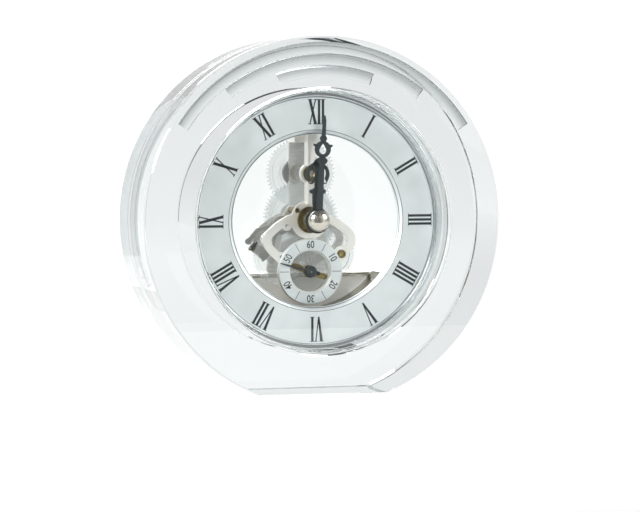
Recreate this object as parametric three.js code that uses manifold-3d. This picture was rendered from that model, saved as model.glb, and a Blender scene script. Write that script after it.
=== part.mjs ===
// Mantel clock: a thick round crystal block with a skeleton quartz insert in its bore.
// Millimetres, +Z up. The origin is the centre of the flat base, and the dial faces -Y.
import * as THREE from "three";
import { mergeVertices } from "three/addons/utils/BufferGeometryUtils.js";
import Module from "manifold-3d";

const wasm = await Module();
wasm.setup();

// ---- Driving dimensions ----

const GAP = 0.3; // running clearance between neighbouring pieces

// Crystal block
const CRYSTAL_RADIUS = 75;
const CRYSTAL_THICKNESS = 45;
const AXIS_HEIGHT = 70; // clock axis above the flat base
const BORE_RADIUS = 54;
const EDGE_BEVEL = 0.8;
const STEP_COUNT = 3; // arched cuts over the dial, each wider than the one inside it
const STEP_ARC = 19; // degrees that each step adds on each side of twelve o'clock
const STEP_DEPTH = 1.5;
const STEP_INNER_LAND = 4.5; // uncut front face between the bore and the first step
const STEP_OUTER_LAND = 2.4; // uncut front face outside the last step

// Insert: its datum plane is the front of the front plate, measured from the crystal's front
const INSERT_DATUM = 22.5;
const TUBE_WALL = 1.4;
const LIP_WIDTH = 1.5; // how far a bezel lip reaches over the piece it holds
const LIP_THICKNESS = 0.9;
const LENS_THICKNESS = 1.3;
const GASKET_SECTION = 0.6;
const DIAL_FRONT = -10;
const DIAL_THICKNESS = 2;
const DIAL_OPENING_RADIUS = 35.3;
const DIAL_BEVEL = 1.6;
const REAR_COVER_FRONT = 19.5;
const REAR_COVER_THICKNESS = 1.5;
const REAR_RING_BACK = 22.2;

// Plates
const PLATE_THICKNESS = 1.2;
const REAR_PLATE_FRONT = 17;
const BOSS_RADIUS = 8;
const ARM_WIDTH = 3.4;
const BAR_WIDTH = 3.7;
const BAR_FRONT = -4;
const BAR_BACK = 1.5;
const STRAP_WIDTH = 8;
const BRIDGE_FRONT = 9.7;
const BRIDGE_THICKNESS = 0.9;
const PIVOT_LOBE = 1.8;
const SECONDS_DIAL_OUTER = 13.6;
const SECONDS_DIAL_INNER = 8.8;
const SECONDS_DIAL_THICKNESS = 1;

// Arbor places, as [x, z] from the clock axis
const CENTRE = [0, 0];
const MINUTE_POST = [0, 19];
const SECONDS_POST = [0, -21.3];
const THIRD_POST = [9.8, -14];
const STEP_POST = [-12, -15.2];
const ROTOR_POST = [-9.7, -2.4];
const SIDE_BUSH_PLACE = [13.7, -14.3];

// Tooth counts
const ROTOR_PINION_TEETH = 10;
const STEP_WHEEL_TEETH = 60;
const STEP_PINION_TEETH = 12;
const SECONDS_WHEEL_TEETH = 60;
const SECONDS_PINION_TEETH = 8;
const THIRD_WHEEL_TEETH = 60;
const THIRD_PINION_TEETH = 8;
const CENTRE_WHEEL_TEETH = 64;
const CANNON_TEETH = 18;
const MINUTE_WHEEL_TEETH = 54;
const MINUTE_PINION_TEETH = 14;
const HOUR_WHEEL_TEETH = 56;

// Front faces of the gear levels, and the thickness of a gear
const GEAR_THICKNESS = 1;
const STEP_LEVEL = 2.1;
const THIRD_LEVEL = 4.3;
const SECONDS_LEVEL = 6.5;
const ROTOR_LEVEL = 8.4;
const HOUR_LEVEL = 11.2;
const MINUTE_LEVEL = 13;
const CENTRE_LEVEL = 14.8;

// Arbors and pipes
const ARBOR_RADIUS = 0.8;
const FINE_ARBOR_RADIUS = 0.5;
const PIPE_WALL = 0.6;

// Hands
const HAND_THICKNESS = 0.5;
const HOUR_HAND_FRONT = -11.4;
const MINUTE_HAND_FRONT = -12.8;
const SECONDS_HAND_FRONT = -2.4;
const CAP_RADIUS = 4.5;
const CAP_HEIGHT = 2.4;
const HOUR_ANGLE = 0.3; // degrees clockwise from twelve, as the clock is set at rest
const MINUTE_ANGLE = 3.65;
const SECONDS_ANGLE = 285.6;

// Battery housing, behind and below the dial opening
const HOUSING_TOP = -22.5;
const HOUSING_FLOOR = 9; // front face of the housing wall seen through the dial opening
const HOUSING_RIM_BACK = 19.2;
const HOUSING_POCKET_RADIUS = 37;
const BATTERY_DIAMETER = 10.5;
const BATTERY_LENGTH = 44.5;
const BAY_WALL = 0.75; // housing wall between the battery bay and the dial opening
const BAY_DROP = 2.25; // housing wall above the battery bay
const BAY_CLEARANCE = 0.9; // room above and below the cell
const DOOR_THICKNESS = 1.1;
const DOOR_EDGE = 1.4; // overlap of the door round the battery bay

// Facets on the crystal, on the large rings, on ordinary discs and on small pins
const CRYSTAL_FACETS = 72;
const RING_FACETS = 48;
const DISC_FACETS = 24;
const PIN_FACETS = 12;

// ---- Shape helpers ----

// A closed three.js geometry as a manifold solid.
function solid(geometry) {
  geometry.deleteAttribute("normal");
  geometry.deleteAttribute("uv");
  const welded = mergeVertices(geometry, 1e-4);
  const index = welded.index.array;
  const faces = [];
  for (let i = 0; i < index.length; i += 3) {
    const [a, b, c] = [index[i], index[i + 1], index[i + 2]];
    if (a !== b && b !== c && c !== a) faces.push(a, b, c);
  }
  const vertProperties = new Float32Array(welded.attributes.position.array);
  return new wasm.Manifold(new wasm.Mesh({ numProp: 3, vertProperties, triVerts: new Uint32Array(faces) }));
}

// A flat outline of [x, z] points, extruded along Y from its front face to its back face.
function plate(outline, front, back) {
  const shape = new THREE.Shape(outline.map(([x, z]) => new THREE.Vector2(x, z)));
  const geometry = new THREE.ExtrudeGeometry(shape, { depth: back - front, bevelEnabled: false });
  geometry.rotateX(Math.PI / 2);
  geometry.translate(0, back, 0);
  return solid(geometry);
}

// A profile of [radius, y] points, anticlockwise, turned about an axis along Y.
function turned(profile, segments = DISC_FACETS, [x, z] = CENTRE) {
  const points = [...profile, profile[0]].map(([r, y]) => new THREE.Vector2(r, y));
  const geometry = new THREE.LatheGeometry(points, segments);
  geometry.translate(x, 0, z);
  return solid(geometry);
}

function disc(radius, front, back, place = CENTRE, segments = DISC_FACETS) {
  return turned([[0, front], [radius, front], [radius, back], [0, back]], segments, place);
}

function ring(inner, outer, front, back, place = CENTRE, segments = DISC_FACETS) {
  return turned([[inner, front], [outer, front], [outer, back], [inner, back]], segments, place);
}

function box([x0, x1], [y0, y1], [z0, z1]) {
  const geometry = new THREE.BoxGeometry(x1 - x0, y1 - y0, z1 - z0);
  geometry.translate((x0 + x1) / 2, (y0 + y1) / 2, (z0 + z1) / 2);
  return solid(geometry);
}

// A bar with round ends from one place to another.
function link([x0, z0], [x1, z1], halfWidth, front, back) {
  const heading = Math.atan2(x1 - x0, z1 - z0);
  const outline = [];
  for (let i = 0; i <= 4; i += 1) {
    const turn = heading - Math.PI / 2 + (Math.PI * i) / 4;
    outline.push([x1 + halfWidth * Math.sin(turn), z1 + halfWidth * Math.cos(turn)]);
  }
  for (let i = 0; i <= 4; i += 1) {
    const turn = heading + Math.PI / 2 + (Math.PI * i) / 4;
    outline.push([x0 + halfWidth * Math.sin(turn), z0 + halfWidth * Math.cos(turn)]);
  }
  return plate(outline.reverse(), front, back);
}

function joined(...pieces) {
  return pieces.reduce((sum, piece) => sum.add(piece));
}

const radians = THREE.MathUtils.degToRad;

function distance([x0, z0], [x1, z1]) {
  return Math.hypot(x1 - x0, z1 - z0);
}

// ---- Materials ----

function finish(color, roughness, metalness, opacity = 1) {
  return new THREE.MeshStandardMaterial({ color, roughness, metalness, opacity, transparent: opacity < 1 });
}

const crystal = finish(0xf4f8f8, 0.03, 0, 0.3);
const clearPlastic = finish(0xe6ebec, 0.2, 0, 0.5);
const polishedSilver = finish(0xd8dadb, 0.1, 1);
const satinSilver = finish(0xd0d7d8, 0.4, 1);
const satinNickel = finish(0xc8c3bc, 0.35, 1);
const brass = finish(0x786946, 0.3, 1);
const steel = finish(0xa8a8a6, 0.25, 1);
const blackPaint = finish(0x202628, 0.4, 0);
const copperWinding = finish(0x4b4637, 0.5, 0.3);
const bondedFerrite = finish(0x3c3e3e, 0.8, 0);
const greenBoard = finish(0x2f5a3c, 0.6, 0);
const batterySleeve = finish(0x5a5e60, 0.4, 0);

const clock = new THREE.Group();
const insert = new THREE.Group();
insert.position.set(0, INSERT_DATUM - CRYSTAL_THICKNESS / 2, AXIS_HEIGHT);
clock.add(insert);

// Adds one named piece to a group.
function add(name, piece, material, group = insert) {
  const { numProp, vertProperties, triVerts } = piece.getMesh();
  const geometry = new THREE.BufferGeometry();
  geometry.setAttribute("position", new THREE.BufferAttribute(vertProperties, numProp));
  geometry.setIndex(new THREE.BufferAttribute(triVerts, 1));
  const mesh = new THREE.Mesh(geometry, material);
  mesh.name = name;
  group.add(mesh);
  return mesh;
}

// ---- Crystal block ----

// A sector of a disc about twelve o'clock that reaches halfAngle degrees to each side.
function sector(halfAngle, radius, front, back) {
  const outline = [[0, 0]];
  const steps = 12;
  for (let i = 0; i <= steps; i += 1) {
    const turn = radians(halfAngle * (1 - (2 * i) / steps));
    outline.push([radius * Math.sin(turn), radius * Math.cos(turn)]);
  }
  return plate(outline, front, back);
}

// One arched cut: a flat tread at full depth, then a cove that rises to the front face.
function steppedCut(number, face) {
  const land = CRYSTAL_RADIUS - BORE_RADIUS - STEP_INNER_LAND - STEP_OUTER_LAND;
  const width = land / STEP_COUNT;
  const inner = BORE_RADIUS + STEP_INNER_LAND + number * width;
  const tread = inner + width * 0.5;
  const outer = inner + width;
  const profile = [[inner, face - 1], [outer, face - 1]];
  for (let i = 0; i <= 3; i += 1) {
    const turn = (Math.PI / 2) * (i / 3);
    const share = Math.cos(turn);
    profile.push([tread + (outer - tread) * share, face + STEP_DEPTH * Math.sin(turn)]);
  }
  profile.push([inner, face + STEP_DEPTH]);
  const cut = turned(profile, CRYSTAL_FACETS);
  return cut.intersect(sector(STEP_ARC * (number + 1), CRYSTAL_RADIUS * 1.2, face - 2, face + 5));
}

function crystalBlock() {
  const back = CRYSTAL_THICKNESS / 2;
  const front = -back;
  let block = turned([
    [BORE_RADIUS, front],
    [CRYSTAL_RADIUS - EDGE_BEVEL, front],
    [CRYSTAL_RADIUS, front + EDGE_BEVEL],
    [CRYSTAL_RADIUS, back - EDGE_BEVEL],
    [CRYSTAL_RADIUS - EDGE_BEVEL, back],
    [BORE_RADIUS, back],
  ], CRYSTAL_FACETS);
  for (let number = 0; number < STEP_COUNT; number += 1) block = block.subtract(steppedCut(number, front));
  const reach = CRYSTAL_RADIUS + CRYSTAL_THICKNESS;
  return block.subtract(box([-reach, reach], [-reach, reach], [-AXIS_HEIGHT - reach, -AXIS_HEIGHT]));
}

add("crystal_block", crystalBlock(), crystal, clock).position.z = AXIS_HEIGHT;

// ---- Bezel, lens, dial ring and rear glazing ----

const TUBE_OUTER = BORE_RADIUS - GAP;
const TUBE_INNER = TUBE_OUTER - TUBE_WALL;
const DIAL_RADIUS = TUBE_INNER - GAP;
const LIP_INNER = TUBE_INNER - LIP_WIDTH;
const DIAL_BACK = DIAL_FRONT + DIAL_THICKNESS;
const LIP_BACK = DIAL_FRONT - GAP;
const BEZEL_FRONT = LIP_BACK - LIP_THICKNESS;
const GASKET_INNER = TUBE_OUTER - GASKET_SECTION;
const LENS_FRONT = GAP - INSERT_DATUM;
const LENS_BACK = LENS_FRONT + LENS_THICKNESS;

add("bezel_ring", turned([
  [LIP_INNER, BEZEL_FRONT],
  [TUBE_OUTER, BEZEL_FRONT],
  [TUBE_OUTER, DIAL_BACK],
  [TUBE_INNER, DIAL_BACK],
  [TUBE_INNER, LIP_BACK],
  [LIP_INNER, LIP_BACK],
], RING_FACETS), polishedSilver);

add("lens", disc(GASKET_INNER - GAP, LENS_FRONT, LENS_BACK, CENTRE, RING_FACETS), crystal);

const gasket = ring(GASKET_INNER, TUBE_OUTER, LENS_FRONT, LENS_BACK, CENTRE, RING_FACETS);
add("lens_gasket", gasket, clearPlastic);

add("chapter_ring", turned([
  [DIAL_OPENING_RADIUS, DIAL_FRONT + DIAL_BEVEL / 2],
  [DIAL_OPENING_RADIUS + DIAL_BEVEL, DIAL_FRONT],
  [DIAL_RADIUS, DIAL_FRONT],
  [DIAL_RADIUS, DIAL_BACK],
  [DIAL_OPENING_RADIUS, DIAL_BACK],
], RING_FACETS), satinSilver);

const REAR_RING_LIP = REAR_COVER_FRONT + REAR_COVER_THICKNESS + GAP;
const HOUSING_BACK_RADIUS = LIP_INNER - GAP;

add("rear_ring", turned([
  [TUBE_INNER, REAR_COVER_FRONT],
  [TUBE_OUTER, REAR_COVER_FRONT],
  [TUBE_OUTER, REAR_RING_BACK],
  [LIP_INNER, REAR_RING_BACK],
  [LIP_INNER, REAR_RING_LIP],
  [TUBE_INNER, REAR_RING_LIP],
], RING_FACETS), polishedSilver);

// What lies above a height, as a block to intersect with.
function above(height) {
  const reach = CRYSTAL_RADIUS + CRYSTAL_THICKNESS;
  return box([-reach, reach], [-reach, reach], [height, reach]);
}

const KNOB_RADIUS = 6;
const KNOB_HOLE_RADIUS = KNOB_RADIUS + 1;
const REAR_COVER_BACK = REAR_COVER_FRONT + REAR_COVER_THICKNESS;
const rearGlass = disc(DIAL_RADIUS, REAR_COVER_FRONT, REAR_COVER_BACK, CENTRE, RING_FACETS)
  .intersect(above(HOUSING_TOP + GAP))
  .subtract(disc(KNOB_HOLE_RADIUS, REAR_COVER_FRONT - 1, REAR_COVER_BACK + 1, MINUTE_POST));
add("rear_cover", rearGlass, clearPlastic);

// ---- Front and rear plates ----

// Right side of the heart-shaped plate, from the boss at the top to the seconds ring.
const HEART_SIDE = [
  [7.2, 2.2], [10.8, 1], [13.7, -0.7], [16.6, -2.9], [18.8, -5.2], [19.7, -7.5], [19.7, -10.1],
  [18.1, -12.9], [15, -15.9], [11.5, -19.2], [6, -25],
];

function heartOutline() {
  const mirrored = HEART_SIDE.map(([x, z]) => [-x, z]).reverse();
  const points = [...mirrored, ...HEART_SIDE].map(([x, z]) => new THREE.Vector2(x, z));
  return new THREE.SplineCurve(points).getPoints(40).map((p) => [p.x, p.y]).reverse();
}

// The same outline moved inwards along its own normals by the width of an arm.
function insetOutline(outline, inset) {
  const last = outline.length - 1;
  return outline.map(([x, z], i) => {
    const [x0, z0] = outline[i === 0 ? last : i - 1];
    const [x1, z1] = outline[i === last ? 0 : i + 1];
    const length = Math.hypot(x1 - x0, z1 - z0);
    return [x - (inset * (z1 - z0)) / length, z + (inset * (x1 - x0)) / length];
  });
}

function heartFrame(front, back) {
  const outline = heartOutline();
  const window = insetOutline(outline, ARM_WIDTH);
  return joined(
    plate(outline, front, back).subtract(plate(window, front - 1, back + 1)),
    disc(BOSS_RADIUS, front, back),
    disc(SECONDS_DIAL_OUTER, front, back, SECONDS_POST, RING_FACETS),
  );
}

const SLEEVE_RADIUS = 4;
const SLEEVE_FLANGE_RADIUS = 5.5;
const SLEEVE_FLANGE_FRONT = -1.3;
const BUSH_RADIUS = 2.4;
const BUSH_FLANGE_RADIUS = 3.4;
const BUSH_LOBE_RADIUS = 4.2;
const BUSH_LOBE_FRONT = -1.5;
const SIDE_LOBE_RADIUS = 3.2;
const SIDE_BUSH_RADIUS = 1.7;
const PILLAR_RADIUS = 1.4;
const SPIGOT_RADIUS = 0.8;
const SECONDS_HOLE = SECONDS_DIAL_INNER - 0.4;
const LEFT_PILLAR = [-5.2, 3.8];
const RIGHT_PILLAR = [5.2, 3.8];
const BLOCK_HEAD_HEIGHT = 7;
const BLOCK_DROP = 3.5; // how far the top block hangs into the dial opening
const BLOCK_LEVEL = DIAL_OPENING_RADIUS + 1.5; // underside of the block's head, behind the dial
const barTop = BLOCK_LEVEL - GAP;
const strapTop = BLOCK_LEVEL + 5.5;

function frontPlate() {
  const bar = box([-BAR_WIDTH / 2, BAR_WIDTH / 2], [BAR_FRONT, BAR_BACK], [BOSS_RADIUS - 1.5, barTop]);
  const bushRecess = disc(BUSH_FLANGE_RADIUS + GAP, BAR_FRONT - 1, BUSH_LOBE_FRONT, MINUTE_POST);
  const lobe = disc(BUSH_LOBE_RADIUS, BUSH_LOBE_FRONT, BAR_BACK, MINUTE_POST);
  const body = joined(
    heartFrame(0, PLATE_THICKNESS),
    bar.subtract(bushRecess),
    lobe,
    disc(PIVOT_LOBE + GAP, 0, PLATE_THICKNESS, STEP_POST),
    disc(PIVOT_LOBE + GAP, 0, PLATE_THICKNESS, ROTOR_POST),
    disc(SIDE_LOBE_RADIUS, 0, PLATE_THICKNESS, SIDE_BUSH_PLACE),
  );
  const through = (radius, place) => disc(radius, BAR_FRONT - 1, BAR_BACK + 1, place, PIN_FACETS);
  const holes = joined(
    through(SLEEVE_RADIUS + GAP, CENTRE),
    through(BUSH_RADIUS + GAP, MINUTE_POST),
    disc(SECONDS_HOLE, BAR_FRONT - 1, BAR_BACK + 1, SECONDS_POST, RING_FACETS),
    through(FINE_ARBOR_RADIUS + GAP, THIRD_POST),
    through(FINE_ARBOR_RADIUS + GAP, STEP_POST),
    through(FINE_ARBOR_RADIUS + GAP, ROTOR_POST),
    through(SIDE_BUSH_RADIUS + GAP, SIDE_BUSH_PLACE),
    through(SPIGOT_RADIUS + GAP, LEFT_PILLAR),
    through(SPIGOT_RADIUS + GAP, RIGHT_PILLAR),
  );
  return body.subtract(holes);
}

add("front_plate", frontPlate(), satinNickel);

const REAR_PLATE_BACK = REAR_PLATE_FRONT + PLATE_THICKNESS;
const RABBET_DEPTH = 3.3; // ledge on the housing that the rear plate's legs stand against
const LEG_INNER = 9;
const LEG_OUTER = 13;
const LEG_SCREW_X = 11;
const LEG_SCREW_HEIGHT = HOUSING_TOP - RABBET_DEPTH / 2;
const SCREW_SHANK = 0.8;
const SCREW_HEAD = 1.6;
const SCREW_HEAD_THICKNESS = 0.7;
const STRAP_SCREW_HEIGHT = BLOCK_LEVEL + 3;
const CENTRE_PIVOT_HOLE = ARBOR_RADIUS + GAP;

function rearPlate() {
  const depth = [REAR_PLATE_FRONT, REAR_PLATE_BACK];
  const strap = box([-STRAP_WIDTH / 2, STRAP_WIDTH / 2], depth, [BOSS_RADIUS - 2, strapTop]);
  const leg = (side) => box(
    side < 0 ? [-LEG_OUTER, -LEG_INNER] : [LEG_INNER, LEG_OUTER],
    depth,
    [HOUSING_TOP - RABBET_DEPTH + GAP, HOUSING_TOP + 6],
  );
  const upper = joined(heartFrame(...depth), strap).intersect(above(HOUSING_TOP + GAP));
  const through = (radius, place) => (
    disc(radius, REAR_PLATE_FRONT - 1, REAR_PLATE_BACK + 1, place, PIN_FACETS)
  );
  const holes = joined(
    through(CENTRE_PIVOT_HOLE, CENTRE),
    through(BUSH_RADIUS + GAP, MINUTE_POST),
    through(FINE_ARBOR_RADIUS + GAP, THIRD_POST),
    through(SCREW_SHANK + GAP, [0, STRAP_SCREW_HEIGHT]),
    through(SCREW_SHANK + GAP, [-LEG_SCREW_X, LEG_SCREW_HEIGHT]),
    through(SCREW_SHANK + GAP, [LEG_SCREW_X, LEG_SCREW_HEIGHT]),
  );
  return joined(upper, leg(-1), leg(1)).subtract(holes);
}

add("rear_plate", rearPlate(), satinNickel);

// The block that joins both plates at the top and stands behind the chapter ring.
function topBlock() {
  const half = BAR_WIDTH * 1.6;
  const low = DIAL_OPENING_RADIUS - BLOCK_DROP;
  const foot = box([-half, half], [BAR_BACK + GAP, MINUTE_LEVEL - 1], [low, BLOCK_LEVEL + 1]);
  const headDepth = [DIAL_BACK + GAP, REAR_PLATE_FRONT - GAP];
  const head = box([-half, half], headDepth, [BLOCK_LEVEL, BLOCK_LEVEL + BLOCK_HEAD_HEIGHT]);
  const screwHole = disc(
    SCREW_SHANK + GAP, REAR_PLATE_FRONT - 6, REAR_PLATE_FRONT, [0, STRAP_SCREW_HEIGHT], PIN_FACETS,
  );
  return joined(foot, head).subtract(screwHole);
}

add("top_block", topBlock(), satinNickel);

add("seconds_dial", ring(
  SECONDS_DIAL_INNER, SECONDS_DIAL_OUTER, -GAP - SECONDS_DIAL_THICKNESS, -GAP, SECONDS_POST, RING_FACETS,
), satinSilver);

// ---- Bushes, sleeve and bridge ----

const PIPE_INNER = ARBOR_RADIUS + GAP;
const PIPE_OUTER = PIPE_INNER + PIPE_WALL;
const HOUR_PIPE_INNER = PIPE_OUTER + GAP;
const HOUR_PIPE_OUTER = HOUR_PIPE_INNER + PIPE_WALL;
const SLEEVE_BORE = HOUR_PIPE_OUTER + GAP;
const HOUR_HAND_BACK = HOUR_HAND_FRONT + HAND_THICKNESS;

add("centre_sleeve", joined(
  ring(SLEEVE_BORE, SLEEVE_RADIUS, HOUR_HAND_BACK + 2, BAR_BACK, CENTRE),
  ring(SLEEVE_BORE, SLEEVE_FLANGE_RADIUS, SLEEVE_FLANGE_FRONT, -GAP, CENTRE),
), brass);

const MINUTE_BUSH_BORE = ARBOR_RADIUS + GAP;
const BUSH_FLANGE_THICKNESS = 0.7;
const bushFlangeBack = BUSH_LOBE_FRONT - GAP;

add("minute_bush_front", joined(
  ring(
    MINUTE_BUSH_BORE, BUSH_RADIUS,
    bushFlangeBack - BUSH_FLANGE_THICKNESS, BAR_BACK, MINUTE_POST, PIN_FACETS,
  ),
  ring(
    MINUTE_BUSH_BORE, BUSH_FLANGE_RADIUS,
    bushFlangeBack - BUSH_FLANGE_THICKNESS, bushFlangeBack, MINUTE_POST, PIN_FACETS,
  ),
), brass);

const rearFlangeBack = REAR_PLATE_FRONT - GAP;
const REAR_FLANGE_THICKNESS = 0.5;

add("minute_bush_rear", joined(
  ring(
    MINUTE_BUSH_BORE, BUSH_RADIUS,
    rearFlangeBack - REAR_FLANGE_THICKNESS, REAR_PLATE_BACK, MINUTE_POST, PIN_FACETS,
  ),
  ring(
    MINUTE_BUSH_BORE, BUSH_FLANGE_RADIUS,
    rearFlangeBack - REAR_FLANGE_THICKNESS, rearFlangeBack, MINUTE_POST, PIN_FACETS,
  ),
), brass);

const SECONDS_BRIDGE_HALF = 1.2;
const SECONDS_BRIDGE_HUB = 2.6;
const SECONDS_BRIDGE_TURN = 110; // degrees clockwise from twelve that its right end points to

// A narrow bridge across the hole in the front plate, with the seconds arbor's bush at its middle.
function secondsBridge() {
  const reach = SECONDS_HOLE - GAP - SECONDS_BRIDGE_HALF;
  const turn = radians(SECONDS_BRIDGE_TURN);
  const [x, z] = SECONDS_POST;
  const [across, up] = [reach * Math.sin(turn), reach * Math.cos(turn)];
  return joined(
    link([x - across, z - up], [x + across, z + up], SECONDS_BRIDGE_HALF, 0, PLATE_THICKNESS),
    disc(SECONDS_BRIDGE_HUB, -GAP, PLATE_THICKNESS, SECONDS_POST),
  ).subtract(disc(FINE_ARBOR_RADIUS + GAP, -1, PLATE_THICKNESS + 1, SECONDS_POST, PIN_FACETS));
}

add("seconds_bridge", secondsBridge(), brass);

add("side_bush", disc(SIDE_BUSH_RADIUS, -GAP, PLATE_THICKNESS, SIDE_BUSH_PLACE, PIN_FACETS), brass);

const BRIDGE_BACK = BRIDGE_FRONT + BRIDGE_THICKNESS;

function bridge() {
  const arm = (from, to) => link(from, to, PIVOT_LOBE - GAP, BRIDGE_FRONT, BRIDGE_BACK);
  const lobe = (place) => disc(PIVOT_LOBE, BRIDGE_FRONT, BRIDGE_BACK, place, PIN_FACETS);
  const body = joined(
    arm(LEFT_PILLAR, ROTOR_POST), arm(ROTOR_POST, STEP_POST), arm(STEP_POST, SECONDS_POST),
    arm(SECONDS_POST, THIRD_POST), arm(THIRD_POST, RIGHT_PILLAR),
    lobe(LEFT_PILLAR), lobe(RIGHT_PILLAR), lobe(ROTOR_POST), lobe(SECONDS_POST), lobe(THIRD_POST),
  );
  const hole = (place, radius = FINE_ARBOR_RADIUS) => (
    disc(radius + GAP, BRIDGE_FRONT - 1, BRIDGE_BACK + 1, place, PIN_FACETS)
  );
  return body.subtract(joined(
    hole(ROTOR_POST), hole(STEP_POST), hole(SECONDS_POST), hole(THIRD_POST),
    hole(LEFT_PILLAR, SPIGOT_RADIUS), hole(RIGHT_PILLAR, SPIGOT_RADIUS),
  ));
}

add("train_bridge", bridge(), satinNickel);

function pillar(place) {
  return joined(
    disc(PILLAR_RADIUS, PLATE_THICKNESS + GAP, BRIDGE_FRONT - GAP, place, PIN_FACETS),
    disc(SPIGOT_RADIUS, 0, BRIDGE_BACK, place, PIN_FACETS),
  );
}

add("bridge_pillar_left", pillar(LEFT_PILLAR), brass);
add("bridge_pillar_right", pillar(RIGHT_PILLAR), brass);

// ---- Battery housing, cell, contacts, board and door ----

const CONTACT_ROOM = 3.7; // room at each end of the cell for its contact
const bayHalf = BATTERY_LENGTH / 2 + CONTACT_ROOM;
const bayHigh = HOUSING_TOP - RABBET_DEPTH - BAY_DROP;
const bayLow = bayHigh - BATTERY_DIAMETER - 2 * BAY_CLEARANCE;
const bayFront = HOUSING_FLOOR + BAY_WALL;
const batteryHeight = (bayLow + bayHigh) / 2;
const batteryCentre = bayFront + GAP + BATTERY_DIAMETER / 2;
const housingBack = bayFront + BATTERY_DIAMETER + 2 * GAP + 0.05 + DOOR_THICKNESS;
const doorHalf = bayHalf + DOOR_EDGE;
const doorLow = bayLow - DOOR_EDGE + GAP;
const doorHigh = bayHigh + DOOR_EDGE - GAP;
const doorFront = housingBack - DOOR_THICKNESS;
const RIM_RADIUS = BORE_RADIUS - GAP * 2;
const BOARD_HALF = 14;
const BOARD_LOW = -49;
const BOARD_HIGH = -41;
const BOARD_FRONT = 1;
const BOARD_THICKNESS = 0.8;
const BOARD_SLOT_BACK = 4;

function housing() {
  const below = (piece) => piece.subtract(above(HOUSING_TOP));
  const body = below(joined(
    disc(RIM_RADIUS, DIAL_BACK + GAP, HOUSING_RIM_BACK, CENTRE, RING_FACETS),
    disc(HOUSING_BACK_RADIUS, HOUSING_RIM_BACK - 1, housingBack, CENTRE, RING_FACETS),
  ));
  const rabbetFront = REAR_PLATE_FRONT - GAP;
  const cuts = joined(
    disc(HOUSING_POCKET_RADIUS, DIAL_BACK - 1, HOUSING_FLOOR, CENTRE, RING_FACETS),
    disc(PIVOT_LOBE + GAP * 2, HOUSING_FLOOR - 1, BRIDGE_BACK + GAP, SECONDS_POST, PIN_FACETS),
    box([-bayHalf, bayHalf], [bayFront, housingBack + 1], [bayLow, bayHigh]),
    box(
      [-doorHalf - GAP, doorHalf + GAP], [doorFront - GAP, housingBack + 1],
      [doorLow - GAP, doorHigh + GAP],
    ),
    box(
      [-LEG_OUTER - GAP, LEG_OUTER + GAP], [rabbetFront, housingBack + 1],
      [HOUSING_TOP - RABBET_DEPTH, HOUSING_TOP + 1],
    ),
    box(
      [-BOARD_HALF - GAP, BOARD_HALF + GAP], [DIAL_BACK, BOARD_SLOT_BACK],
      [BOARD_LOW - GAP, BOARD_HIGH + GAP],
    ),
    disc(SCREW_SHANK + GAP, rabbetFront - 5, rabbetFront + 1, [-LEG_SCREW_X, LEG_SCREW_HEIGHT], PIN_FACETS),
    disc(SCREW_SHANK + GAP, rabbetFront - 5, rabbetFront + 1, [LEG_SCREW_X, LEG_SCREW_HEIGHT], PIN_FACETS),
  );
  return body.subtract(cuts);
}

add("battery_housing", housing(), satinNickel);

// A solid turned about an axis along X instead of Y.
function lying(profile, segments = DISC_FACETS) {
  const points = [...profile, profile[0]].map(([r, x]) => new THREE.Vector2(r, x));
  const geometry = new THREE.LatheGeometry(points, segments);
  geometry.rotateZ(-Math.PI / 2);
  return geometry;
}

function batteryCell() {
  const half = BATTERY_LENGTH / 2;
  const button = 0.8;
  const geometry = lying([
    [0, -half], [BATTERY_DIAMETER / 2, -half], [BATTERY_DIAMETER / 2, half - button],
    [1.9, half - button], [1.9, half], [0, half],
  ]);
  geometry.translate(0, batteryCentre, batteryHeight);
  return solid(geometry);
}

add("battery_cell", batteryCell(), batterySleeve);

const CONTACT_THICKNESS = 0.6;
const CONTACT_HALF = 3.6;
const contactHeights = [batteryHeight - CONTACT_HALF, batteryHeight + CONTACT_HALF];
const contactDepths = [batteryCentre - CONTACT_HALF, batteryCentre + CONTACT_HALF];

// A contact leaf that stands against the end of the bay, with a raised pad towards the cell.
function contact(side, padReach) {
  const outer = side * (bayHalf - GAP);
  const inner = outer - side * CONTACT_THICKNESS;
  const tip = outer - side * padReach;
  const ordered = (a, b) => [Math.min(a, b), Math.max(a, b)];
  const pad = CONTACT_HALF / 2;
  return joined(
    box(ordered(outer, inner), contactDepths, contactHeights),
    box(
      ordered(outer, tip), [batteryCentre - pad, batteryCentre + pad],
      [batteryHeight - pad, batteryHeight + pad],
    ),
  );
}

const PAD_REACH = CONTACT_ROOM - GAP * 2;
add("contact_positive", contact(1, PAD_REACH), steel);
add("contact_negative", contact(-1, PAD_REACH), steel);

add("circuit_board", box(
  [-BOARD_HALF, BOARD_HALF], [BOARD_FRONT, BOARD_FRONT + BOARD_THICKNESS], [BOARD_LOW, BOARD_HIGH],
), greenBoard);

function quartzCan() {
  const radius = 1;
  const geometry = lying([[0, -3], [radius, -3], [radius, 3], [0, 3]], PIN_FACETS);
  geometry.translate(-6, BOARD_FRONT - GAP - radius, (BOARD_LOW + BOARD_HIGH) / 2);
  return solid(geometry);
}

add("quartz_can", quartzCan(), steel);

// Slides out of the back of the housing.
function batteryDoor() {
  const lid = box([-doorHalf, doorHalf], [doorFront, housingBack], [doorLow, doorHigh]);
  const tongue = box([-8, 8], [doorFront - 2, doorFront + 0.2], [bayHigh - GAP - 0.8, bayHigh - GAP]);
  return joined(lid, tongue);
}

add("battery_door", batteryDoor(), satinNickel);

function screw(place, headFront, shankLength) {
  return joined(
    disc(SCREW_HEAD, headFront, headFront + SCREW_HEAD_THICKNESS, place, PIN_FACETS),
    disc(SCREW_SHANK, headFront - shankLength, headFront + 0.1, place, PIN_FACETS),
  );
}

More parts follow.
